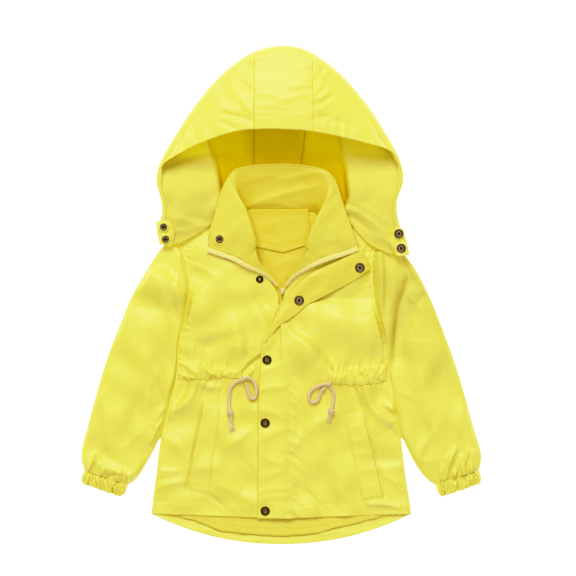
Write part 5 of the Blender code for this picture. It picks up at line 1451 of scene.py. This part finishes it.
collar_top = pinched(collar_top, ["snap_stud_collar"], 7.0, 8.0)
past_roll = np.full(x.shape, -20.0)
for line, sign in ((LAPEL_RIGHT, -1), (LAPEL_LEFT, 1)):
    points = np.array(line, float)
    ahead = sign * (x - np.interp(y, points[:, 1], points[:, 0]))
    past_roll = np.where(sign * x > 20, np.clip(ahead, -20, 20), past_roll)
collar = cloth_piece("collar_cloth", collar_top[::-1], COLLAR_THICKNESS, [COLLAR_CLOTH_PAINTED_SHADE],
                     folds=0.5 * folds[::-1])
keep_values(collar, "past_roll", past_roll[::-1])
sewn_in(collar, ["collar"], "inner_cloth", collar_cut)
edge_columns = [int(np.argmax(line < COLLAR_STITCH)) for line in from_edge]
collar_line = collar_top[np.arange(len(collar_top)), edge_columns, :2][2:-2]

facings = []
collar_heights = tops_of(collar)
for name, rows in (("right", FACING_RIGHT), ("left", FACING_LEFT)):
    cut = grid_between(resample(rows, FACING_GRID[0]), FACING_GRID[1])
    sign = 1 if name == "right" else -1
    top = cut + sign * grid_normals(cut) * 0.8
    z = top[:, :, 2]
    z += 0.3 * ripple(along_rows(cut), 14, 195 + sign)
    over = collar_heights(top[:, :, 0], top[:, :, 1]) + 0.3
    over -= 0.9 * hump(along_rows(cut), 3)
    z[:] = np.where(np.isfinite(over), over, z)
    z[12:] = smoothed(z, 14)[12:]
    facings.append(cloth_piece(f"facing_{name}_cloth", top[::sign], 1.5, [FACING_CLOTH]))
    sewn_in(facings[-1], ["facing_" + name], "inner_cloth", cut)
stitching("collar_stitching", [collar_line], [collar], "inner_cloth", step=2.8)

# ======== zip
# A moulded zip on a cream tape: it is open from the slider up, with each half sewn just outside the
# facing's edge. From the slider down its teeth are closed between the fronts, under the storm flap.
# Edge that each half follows, from the collar's corner to the slider: x, y, z.
ZIP_EDGE_RIGHT = [
    (-119.6, 79.2, 13), (-100.7, 72.6, 14.2), (-84.2, 67.2, 15.4), (-67.7, 59.8, 16.6),
    (-51.2, 50.3, 16.5), (-34.7, 41.8, 15), (-18.2, 31, 13.2), (-3.2, 17, 12),
]
ZIP_EDGE_LEFT = [
    (125.4, 80.7, 13), (113.9, 76.5, 13.8), (97.4, 71, 14.9), (80.9, 66, 15.9), (64.4, 60, 17),
    (47.9, 51.5, 16.4), (31.4, 40.6, 14.9), (14.9, 27.6, 13.1), (6, 15.4, 12),
]
ZIP_POINTS = 150         # along each open half
ZIP_LEAN = (0, 34)       # degrees that each half is turned down, at the collar and at the slider
ZIP_NARROW = 0.62        # share of the tape's width that shows at the slider
TAPE_THICKNESS = 0.8
TAPE_FROM, TAPE_TO = 0.3, 8.2        # from the facing's edge
TOOTH_AT, TOOTH_PITCH = 6.3, 4.4
TOOTH_LONG, TOOTH_WIDE, TOOTH_HIGH = 4.4, 2.4, 1.3
TOOTH_BED = (0.88, 0.66, 0.10)          # the tape between the teeth, in their shade
CHAIN_ENDS, CHAIN_Z = (-361, -18), 4.6
TAPE_COLOUR, TOOTH_COLOUR = (1.0, 0.87, 0.20), (1.0, 0.92, 0.36)

ZIP_TAPE = cloth_material("zip_tape", TAPE_COLOUR, [0.94 * part for part in TAPE_COLOUR],
                          0.7, 0.15, 0.3, threads=2200)
two_cloths(ZIP_TAPE, "past_bed", -0.4, 0.4, TOOTH_BED)
ZIP_TOOTH = thread_material("zip_tooth", TOOTH_COLOUR, 0.3)


def teeth(name, places, headings, sides):
    """Joined zip teeth: each a block across the tape, chamfered round its top."""
    ahead = headings / np.linalg.norm(headings, axis=1)[:, None]
    side = sides / np.linalg.norm(sides, axis=1)[:, None]
    up = np.cross(side, ahead)
    up *= np.sign(up[:, 2:])
    rings = []
    for size, height in ((0.86, -0.5), (1.0, -0.3), (1.0, 0.22), (0.72, 0.5)):
        for across, along in ((-1, -1), (1, -1), (1, 1), (-1, 1)):
            rings.append(places + side * (across * size * TOOTH_LONG / 2)
                         + ahead * (along * size * TOOTH_WIDE / 2) + up * (height * TOOTH_HIGH))
    points = np.stack(rings, axis=1).reshape(-1, 3)
    block = tube_faces(4, 4) + [(3, 2, 1, 0), (12, 13, 14, 15)]
    row = mesh_piece(name, points, repeated(block, len(places), 16), [ZIP_TOOTH])
    row.data.shade_flat()
    return on_coat(row, "zip")


for name, path, sign in (("right", ZIP_EDGE_RIGHT, 1), ("left", ZIP_EDGE_LEFT, -1)):
    line = even_lengths(path, ZIP_POINTS)
    down = np.linspace(0, 1, ZIP_POINTS)
    ahead = np.gradient(line, axis=0)
    ahead /= np.linalg.norm(ahead, axis=1)[:, None]
    side = np.column_stack((ahead[:, 1], -ahead[:, 0], np.zeros(ZIP_POINTS))) * sign
    line = line + (0, 0, 0.6) + 0.25 * ripple(150 * down, 22, 200)[:, None] * (0, 0, 1)
    lean = np.radians(np.interp(down, (0, 0.42, 0.8, 1), np.repeat(ZIP_LEAN, 2)))
    side = side * np.cos(lean)[:, None] - np.sin(lean)[:, None] * (0, 0, 1)
    side *= np.interp(down, (0, 0.5, 0.8, 1), (1, 1, ZIP_NARROW, ZIP_NARROW))[:, None]
    reaches = np.linspace(TAPE_FROM, TAPE_TO, 9)
    cut = np.stack([line + side * reach for reach in reaches], axis=1)
    tape = cloth_piece(f"zip_tape_{name}_cloth", cut[::-sign], TAPE_THICKNESS, [ZIP_TAPE])
    past_bed = reaches - TOOTH_AT + TOOTH_LONG / 2
    keep_values(tape, "past_bed", np.broadcast_to(past_bed, cut.shape[:2]))
    on_coat(tape, "zip", "zip_tape_" + name)
    run = along_rows(line[:, None])[:, 0]
    spots = np.arange(2, run[-1] - 3, TOOTH_PITCH)
    centre = line + side * TOOTH_AT + (0, 0, TAPE_THICKNESS)
    places, headings, sides = (np.column_stack([np.interp(spots, run, axis) for axis in table.T])
                               for table in (centre, ahead, side))
    teeth("zip_teeth_" + name, places, headings, sides)

steps = np.arange(*CHAIN_ENDS, TOOTH_WIDE * 0.6)
zigzag = np.where(np.arange(len(steps)) % 2, 0.9, -0.9)
places = np.column_stack((zigzag, steps, np.full(len(steps), CHAIN_Z)))
chain = teeth("zip_chain_teeth", places, *(np.tile(axis, (len(steps), 1))
                                           for axis in ((0.0, 1.0, 0.0), (1.0, 0.0, 0.0))))
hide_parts("zip_chain")

# ======== zip slider
# Enamelled metal: two plates that narrow downwards, held apart by a post, with the bridge on top that
# carries the pull, which hangs behind the flap.
PLATE_OUTLINE = [(-3.4, 4.9), (-1.8, 5.7), (1.8, 5.7), (3.4, 4.9), (3.1, 2.2), (2.6, 0), (2.4, -4.1),
                 (0, -4.7), (-2.4, -4.1), (-2.6, 0), (-3.1, 2.2)]
SLIDER_PLACE = (2.4, 6.6)
PLATE_THICKNESS, PLATE_GAP = 0.9, 1.4
PLATE_POINTS = 44
BRIDGE = [(-3.3, 0.2), (-2.7, 1.3), (-1.1, 1.8), (1.1, 1.8), (2.5, 1.2), (3.0, 0.2)]  # y, z
BRIDGE_WIDTH, BRIDGE_THICKNESS, BRIDGE_POINTS = 1.9, 0.9, 24
POST_RADIUS, POST_Y = 1.1, 3.4
ENAMEL = (0.80, 0.66, 0.33)

enamel, tree, shader = new_material("slider_enamel")
chips = speckle(tree, 900, Detail=3)
set_inputs(tree, shader, {"Base Color": two_tones(tree, chips, [0.9 * part for part in ENAMEL], ENAMEL),
                          "Roughness": spread(tree, chips, 0, 1, (0.22, 0.4)), "Coat Weight": 0.5})

x0, y0 = SLIDER_PLACE
slider_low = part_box("zip_slider")[0][2] / MM
slider_mesh = bpy.data.meshes.new("slider_body")
work = bmesh.new()
rim = resample(PLATE_OUTLINE + PLATE_OUTLINE[:1], PLATE_POINTS)[:-1]
for low in (0.0, PLATE_THICKNESS + PLATE_GAP):
    ring = [work.verts.new(Vector((x0 + px, y0 + py, slider_low + low)) * MM) for px, py in rim]
    face = work.faces.new(ring)
    up = bmesh.ops.extrude_face_region(work, geom=[face])
    raised = [item for item in up["geom"] if isinstance(item, bmesh.types.BMVert)]
    bmesh.ops.translate(work, verts=raised, vec=Vector((0, 0, PLATE_THICKNESS)) * MM)
post = bmesh.ops.create_cone(work, cap_ends=True, segments=16, radius1=POST_RADIUS * MM,
                             radius2=POST_RADIUS * MM, depth=(PLATE_GAP + 0.2) * MM)
bmesh.ops.translate(work, verts=post["verts"], vec=Vector(
    (x0, y0 + POST_Y, slider_low + PLATE_THICKNESS + PLATE_GAP / 2)) * MM)
bridge_low = slider_low + 2 * PLATE_THICKNESS + PLATE_GAP - 0.2
arch = resample(BRIDGE, BRIDGE_POINTS)
(low_left, high_left), (low_right, high_right) = (
    [[work.verts.new(Vector((x0 + x, y0 + by, bridge_low + bz + lift)) * MM) for by, bz in arch]
     for lift in (0, BRIDGE_THICKNESS)] for x in (-BRIDGE_WIDTH / 2, BRIDGE_WIDTH / 2))
for k in range(len(arch) - 1):
    for a, b in ((high_left, high_right), (low_right, low_left), (low_left, high_left),
                 (high_right, low_right)):
        work.faces.new((a[k], b[k], b[k + 1], a[k + 1]))
for k in (0, -1):
    work.faces.new((low_left[k], high_left[k], high_right[k], low_right[k]))
bmesh.ops.recalc_face_normals(work, faces=work.faces)
work.to_mesh(slider_mesh)
work.free()
slider_mesh.materials.append(enamel)
slider = in_scene("slider_body", slider_mesh)
soften = slider.modifiers.new("rounded_edges", "BEVEL")
soften.width = 0.25 * MM
soften.segments = 3
soften.limit_method = "ANGLE"
on_coat(slider, "zip", "zip_slider")

# ======== snaps
# Spring snaps of antiqued brass, riveted through the cloth: caps down the flap, their sockets on its
# turned side, and studs on the front, the collar and the hood's tabs. The high rims are rubbed bright.
# Profile of each kind from its middle to its back: radius share, height in mm, finish.
DARK, MID, BRIGHT = 0, 1, 2
SNAP_PROFILES = {
    "cap": [(0, 1.5, MID), (0.34, 1.5, MID), (0.42, 1.75, MID), (0.50, 1.8, DARK), (0.56, 1.3, DARK),
            (0.64, 1.35, DARK), (0.72, 1.9, DARK), (0.82, 2.15, DARK), (0.92, 1.9, DARK),
            (0.98, 1.2, DARK), (1, 0, DARK)],
    "socket": [(0, 0.5, DARK), (0.28, 0.5, DARK), (0.32, 0.8, DARK), (0.36, 2.0, BRIGHT),
               (0.44, 2.3, BRIGHT), (0.54, 2.1, MID), (0.60, 1.3, DARK), (0.68, 1.2, MID),
               (0.78, 1.7, MID), (0.90, 1.7, DARK), (0.98, 1.1, DARK), (1, 0, DARK)],
    "stud": [(0, 2.3, DARK), (0.20, 2.2, DARK), (0.27, 1.4, DARK), (0.32, 0.9, DARK),
             (0.44, 1, MID), (0.56, 1.7, BRIGHT), (0.68, 1.9, MID), (0.82, 1.7, DARK),
             (0.94, 1.2, DARK), (1, 0, DARK)],
    # The front stud's middle is drawn bright: partly rubbed brass, partly a painted highlight.
    "rubbed_and_highlit_stud": [(0, 2.5, BRIGHT), (0.18, 2.4, BRIGHT), (0.30, 1.9, MID), (0.38, 0.8, DARK),
                    (0.52, 0.8, DARK), (0.66, 1.6, DARK), (0.80, 1.8, DARK), (0.94, 1.2, DARK),
                    (1, 0, DARK)],
}
SNAP_RADIUS, SOCKET_RADIUS, STUD_RADIUS, SMALL_RADIUS = 7.8, 8.2, 6.6, 6.0
SNAPS = {
    (SNAP_RADIUS, "cap"): ["snap_cap_top", "snap_cap_middle", "snap_cap_bottom"],
    (SOCKET_RADIUS, "socket"): ["snap_socket_flap_upper", "snap_socket_flap_lower"],
    (STUD_RADIUS, "rubbed_and_highlit_stud"): ["snap_stud_front"],
    (STUD_RADIUS, "stud"): ["snap_stud_collar"],
    (SMALL_RADIUS, "stud"): TAB_SNAPS["right"],
    (SNAP_RADIUS, "socket"): TAB_SNAPS["left"],
}
SNAP_SIDES = 56
PRONGS = 8               # dents round a socket's bright rim


def antiqued(name, colour, worn, roughness):
    """Brass gone brown, rubbed through in small spots."""
    material, tree, shader = new_material(name)
    spots = speckle(tree, 620, Detail=5, Roughness=0.65)
    rubbed = spread(tree, spots, 0.46, 0.66)
    set_inputs(tree, shader, {
        "Base Color": two_tones(tree, rubbed, colour, worn),
        "Roughness": spread(tree, rubbed, 0, 1, (roughness + 0.12, roughness - 0.08)),
        "Metallic": 0.75, "Normal": relief(tree, spots, 0.08, 0.4)})
    return material


SNAP_FINISHES = [
    antiqued("brass_dark", (0.030, 0.019, 0.008), (0.085, 0.055, 0.024), 0.40),
    antiqued("brass_brown", (0.115, 0.078, 0.040), (0.21, 0.15, 0.085), 0.42),
    antiqued("brass_rubbed", (0.30, 0.235, 0.15), (0.58, 0.50, 0.38), 0.34),
]

for (radius, kind), node in ((key, node) for key, nodes in SNAPS.items() for node in nodes):
    profile = SNAP_PROFILES[kind]
    rings = resample([row[:2] for row in profile], 4 * len(profile) - 3)
    seat, facing = seat_of(node)
    points, faces, finishes = [(0, 0, rings[0][1])], [], []
    for share, height in rings[1:]:
        for k in range(SNAP_SIDES):
            turn = 2 * pi * k / SNAP_SIDES
            dent = 0.35 * max(0, cos(PRONGS * turn)) * hump(share - 0.44, 0.1)
            level = height - (dent if kind == "socket" else 0)
            points.append((radius * share * cos(turn), radius * share * sin(turn), max(level, 0)))
    for k in range(SNAP_SIDES):
        after = (k + 1) % SNAP_SIDES
        faces.append((0, 1 + k, 1 + after))
        finishes.append(profile[0][2])
        for ring in range(len(rings) - 2):
            a, b = 1 + ring * SNAP_SIDES, 1 + (ring + 1) * SNAP_SIDES
            faces.append((a + k, b + k, b + after, a + after))
            finishes.append(profile[(ring + 1) // 4][2])
    last = 1 + (len(rings) - 2) * SNAP_SIDES
    faces.append([last + k for k in reversed(range(SNAP_SIDES))])
    finishes.append(DARK)
    turned_to = Vector(facing).to_track_quat("Z", "Y")
    places = [turned_to @ Vector(point) + Vector(seat) for point in points]
    snap = mesh_piece(node + "_turned", places, faces, SNAP_FINISHES)
    snap.data.polygons.foreach_set("material_index", finishes)
    snap.data.set_sharp_from_angle(angle=radians(50))
    on_coat(snap, "brass", node)

# ======== drawcords
# Knitted cotton cord that comes out of each casing, tied in half a bow: one loop, and one free tail
# with a stopper knot and a frayed end. Points x, y along each free stretch.
LOOP_RIGHT = [(-57.5, -136.2), (-50, -138.3), (-43.5, -145.5), (-40.4, -155), (-40.6, -163),
              (-42.9, -169), (-47, -171.3), (-50.9, -168.8), (-53.4, -162.5), (-55.8, -153),
              (-59.8, -143.2)]
TAIL_RIGHT = [(-66.8, -140), (-77.5, -145.8), (-83.6, -156), (-85.6, -171), (-85.4, -186),
              (-83, -197), (-81.5, -211)]
LOOP_LEFT = [(72.6, -146.4), (64.5, -149), (55.8, -152.8), (49.2, -158.6), (45.6, -166),
             (48, -174), (54.5, -177), (60.8, -173), (63.5, -165.5), (66.8, -158),
             (73.2, -152.4)]
TAIL_LEFT = [(81.6, -150.6), (85.9, -158), (86.6, -169), (85.3, -180), (83, -190), (79.6, -203.5)]
CORD_WIDTH = 5.5
STOPPER_AT = 0.79        # where the stopper knot sits along a tail
STOPPER_RADIUS = 5.2
CORD_RING, CORD_SIDES = 0.55, 18
KNIT_PITCH, KNIT_ROWS, KNIT_DEPTH = 3.4, 5, 0.075
STRANDS, STRAND_RADIUS, STRAND_RINGS = 34, 0.36, 6
LYING_POINTS = 60        # along each free stretch
STRAND_LENGTH = {RIGHT: 16.0, LEFT: 8.5}
COTTON_LIGHT, COTTON_DARK = (0.78, 0.625, 0.31), (0.60, 0.45, 0.19)
TUFT_PAINTED_LIGHT = (0.98, 0.86, 0.46)

# The cord's raised stitches are drawn lighter and its sunk ones darker, by the knit's relief: painted
# shade, over fibres whose tone varies at random.
COTTON, tree, shader = new_material("cotton_cord")
fibres = speckle(tree, 1300, Detail=4)
raised = new_node(tree, "Math", {0: fibres, 1: 0.45, 2: attribute(tree, "painted_knit_shade")},
                  operation="MULTIPLY_ADD")
tone = two_tones(tree, raised, COTTON_DARK, COTTON_LIGHT)
set_inputs(tree, shader, {"Base Color": tone, "Roughness": 0.9, "Sheen Weight": 0.35,
                          "Normal": relief(tree, fibres, 0.12, 0.5)})
# The tuft is drawn paler than the cord: painted light that lifts the shade among its fine strands.
FRAYED = COTTON.copy()
FRAYED.name = "frayed_cotton"
FRAYED.node_tree.nodes[tone.node.name].inputs["B"].default_value = (*TUFT_PAINTED_LIGHT, 1)


def cord_piece(node, line, radius):
    """A knitted cord along a line of points: a tube with its stitches in relief, closed at its ends."""
    run = along_rows(line[:, None])[:, 0]
    spots = np.linspace(0, run[-1], max(8, ceil(run[-1] / CORD_RING)))
    centre = np.column_stack([np.interp(spots, run, axis) for axis in line.T])
    centre = np.apply_along_axis(lambda axis: np.convolve(
        np.pad(axis, 2, mode="edge"), (0.1, 0.2, 0.4, 0.2, 0.1), mode="valid"), 0, centre)
    ahead = np.gradient(centre, axis=0)
    ahead /= np.linalg.norm(ahead, axis=1)[:, None]
    arm = np.cross(ahead[0], (0.13, 0.07, 1))
    points, knit = [], []
    for step, (middle, heading) in enumerate(zip(centre, ahead)):
        arm = arm - heading * (arm @ heading)
        arm /= np.linalg.norm(arm)
        other = np.cross(heading, arm)
        end = min(spots[step], spots[-1] - spots[step]) / radius
        size = radius * (0.35 + 0.65 * rounded(end, 0.6))
        for k in range(CORD_SIDES):
            turn = 2 * pi * k / CORD_SIDES
            slip = 2 * pi * spots[step] / KNIT_PITCH
            relieved = cos(KNIT_ROWS * turn + slip) * cos(KNIT_ROWS * turn - slip)
            points.append(middle + (arm * cos(turn) + other * sin(turn))
                          * size * (1 + KNIT_DEPTH * relieved))
            knit.append(0.5 + 0.5 * relieved)
    last = (len(centre) - 1) * CORD_SIDES
    faces = tube_faces(len(centre), CORD_SIDES) + [
        list(reversed(range(CORD_SIDES))), [last + k for k in range(CORD_SIDES)]]
    piece = mesh_piece(node + "_cord", points, faces, [COTTON])
    keep_values(piece, "painted_knit_shade", knit)
    return on_coat(piece, "cotton_cord", node), centre


def wraps(middle, axis, turns, coil, pitch, tilt=0.0):
    """Points of a few turns of cord wound round a line: the visible part of a pulled knot."""
    axis = np.array(axis) / np.linalg.norm(axis)
    side = np.cross(axis, (0, 0, 1))
    side /= np.linalg.norm(side)
    up = np.cross(side, axis)
    points = []
    for t in np.linspace(-turns / 2, turns / 2, int(26 * turns)):
        turn = 2 * pi * t
        tuck = 1 - 0.35 * ease((abs(t) - turns / 2 + 0.3) / 0.3)
        arm = side * sin(turn) + up * cos(turn)
        points.append(middle + arm * coil * tuck + axis * (pitch * t + tilt * sin(turn)))
    return np.array(points)


def frayed(node, start, heading, heights, length_of_most, seed):
    """The cord's cut end: fine yarns that fan out on the cloth."""
    draw = np.random.default_rng(seed)
    heading = np.array(heading) / np.linalg.norm(heading)
    side = np.cross(heading, (0, 0, 1))
    points = []
    for _ in range(STRANDS):
        fan = draw.uniform(-1, 1)
        level = draw.uniform(0, 1)
        length = length_of_most * draw.uniform(0.7, 1.08)
        curl = draw.uniform(-0.8, 0.8)
        for f in np.linspace(0, 1, STRAND_RINGS):
            spreading = fan * (1.7 + 4.0 * f ** 1.4) + curl * sin(3 * f)
            place = start - heading * 1.5 + heading * (length * f) + side * spreading
            low = float(heights(np.array([place[0]]), np.array([place[1]]))[0])
            above = (1 - f) * (start[2] + 1.6 * (level - 0.5) * 2) + f * (low + 0.5 + 3.2 * level)
            place[2] = max(above, low + 0.4)
            thick = STRAND_RADIUS * (1 - 0.5 * f)
            for across, lift in ((-1, -0.6), (1, -0.6), (0, 1)):
                points.append(place + side * across * thick + np.array((0, 0, lift * thick)))
    last = 3 * STRAND_RINGS - 3
    yarn = tube_faces(STRAND_RINGS, 3) + [(2, 1, 0), (last, last + 1, last + 2)]
    tuft = mesh_piece(node + "_cord", points, repeated(yarn, STRANDS, 3 * STRAND_RINGS), [FRAYED])
    keep_values(tuft, "painted_knit_shade", np.ones(len(points)))
    return on_coat(tuft, "cotton_cord", node)


for side, name, loop, tail in ((RIGHT, "right", LOOP_RIGHT, TAIL_RIGHT),
                               (LEFT, "left", LOOP_LEFT, TAIL_LEFT)):
    heights = tops_of(fronts[side], casings[side], flap)
    radius = CORD_WIDTH / 2

    def lying(route, raised_at=None):
        """The route's points at equal distances, resting on the cloth; it passes over no bump
        without being held up beside it."""
        points = even_lengths(route, LYING_POINTS)
        found = [heights(points[:, 0] + dx, points[:, 1] + dy)
                 for dx in (-2, 0, 2) for dy in (-2, 0, 2)]
        raw = np.max(found, axis=0) + radius + 0.2
        if raised_at is not None:
            off = (np.linspace(0, 1, LYING_POINTS) - raised_at) * 9
            raw += (STOPPER_RADIUS - radius) * np.exp(-off ** 2)
        smooth = smoothed(raw[:, None].repeat(3, axis=1), 10)[:, 1]
        return np.column_stack((points, np.maximum(smooth, raw - 0.3)))

    tail_line = lying(tail, STOPPER_AT)
    knot_middle = np.array([(low + high) / 2 / MM for low, high in zip(*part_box("bow_knot_" + name))])
    bow_knot, _ = cord_piece("bow_knot_" + name, wraps(
        knot_middle, (1.0 if side == RIGHT else -1.0, 0.25, 0), 2.2, 2.3, 3.7, 0.6), 2.0)
    loop_piece, loop_centre = cord_piece("drawcord_loop_" + name, lying(loop), radius)
    tail_piece, tail_centre = cord_piece("drawcord_tail_" + name, tail_line, radius)

    place = int(STOPPER_AT * (LYING_POINTS - 1))
    ahead = tail_line[place + 1] - tail_line[place - 1]
    stopper, _ = cord_piece("stopper_knot_" + name,
                            wraps(tail_line[place], ahead, 2.1, 3.6, 3.9, 1.1), 2.0)
    tuft = frayed("cord_tuft_" + name, tail_line[-1], tail_line[-1] - tail_line[-3],
                  heights, STRAND_LENGTH[side], 210 + side)

    for piece, centre, far_end, carried in (
            (loop_piece, loop_centre, "object", [bow_knot]),
            (tail_piece, tail_centre, "knot", [bow_knot, stopper, tuft])):
        (float(along_rows(
            centre[:, None])[-1, 0]) * MM)
        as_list(carried)
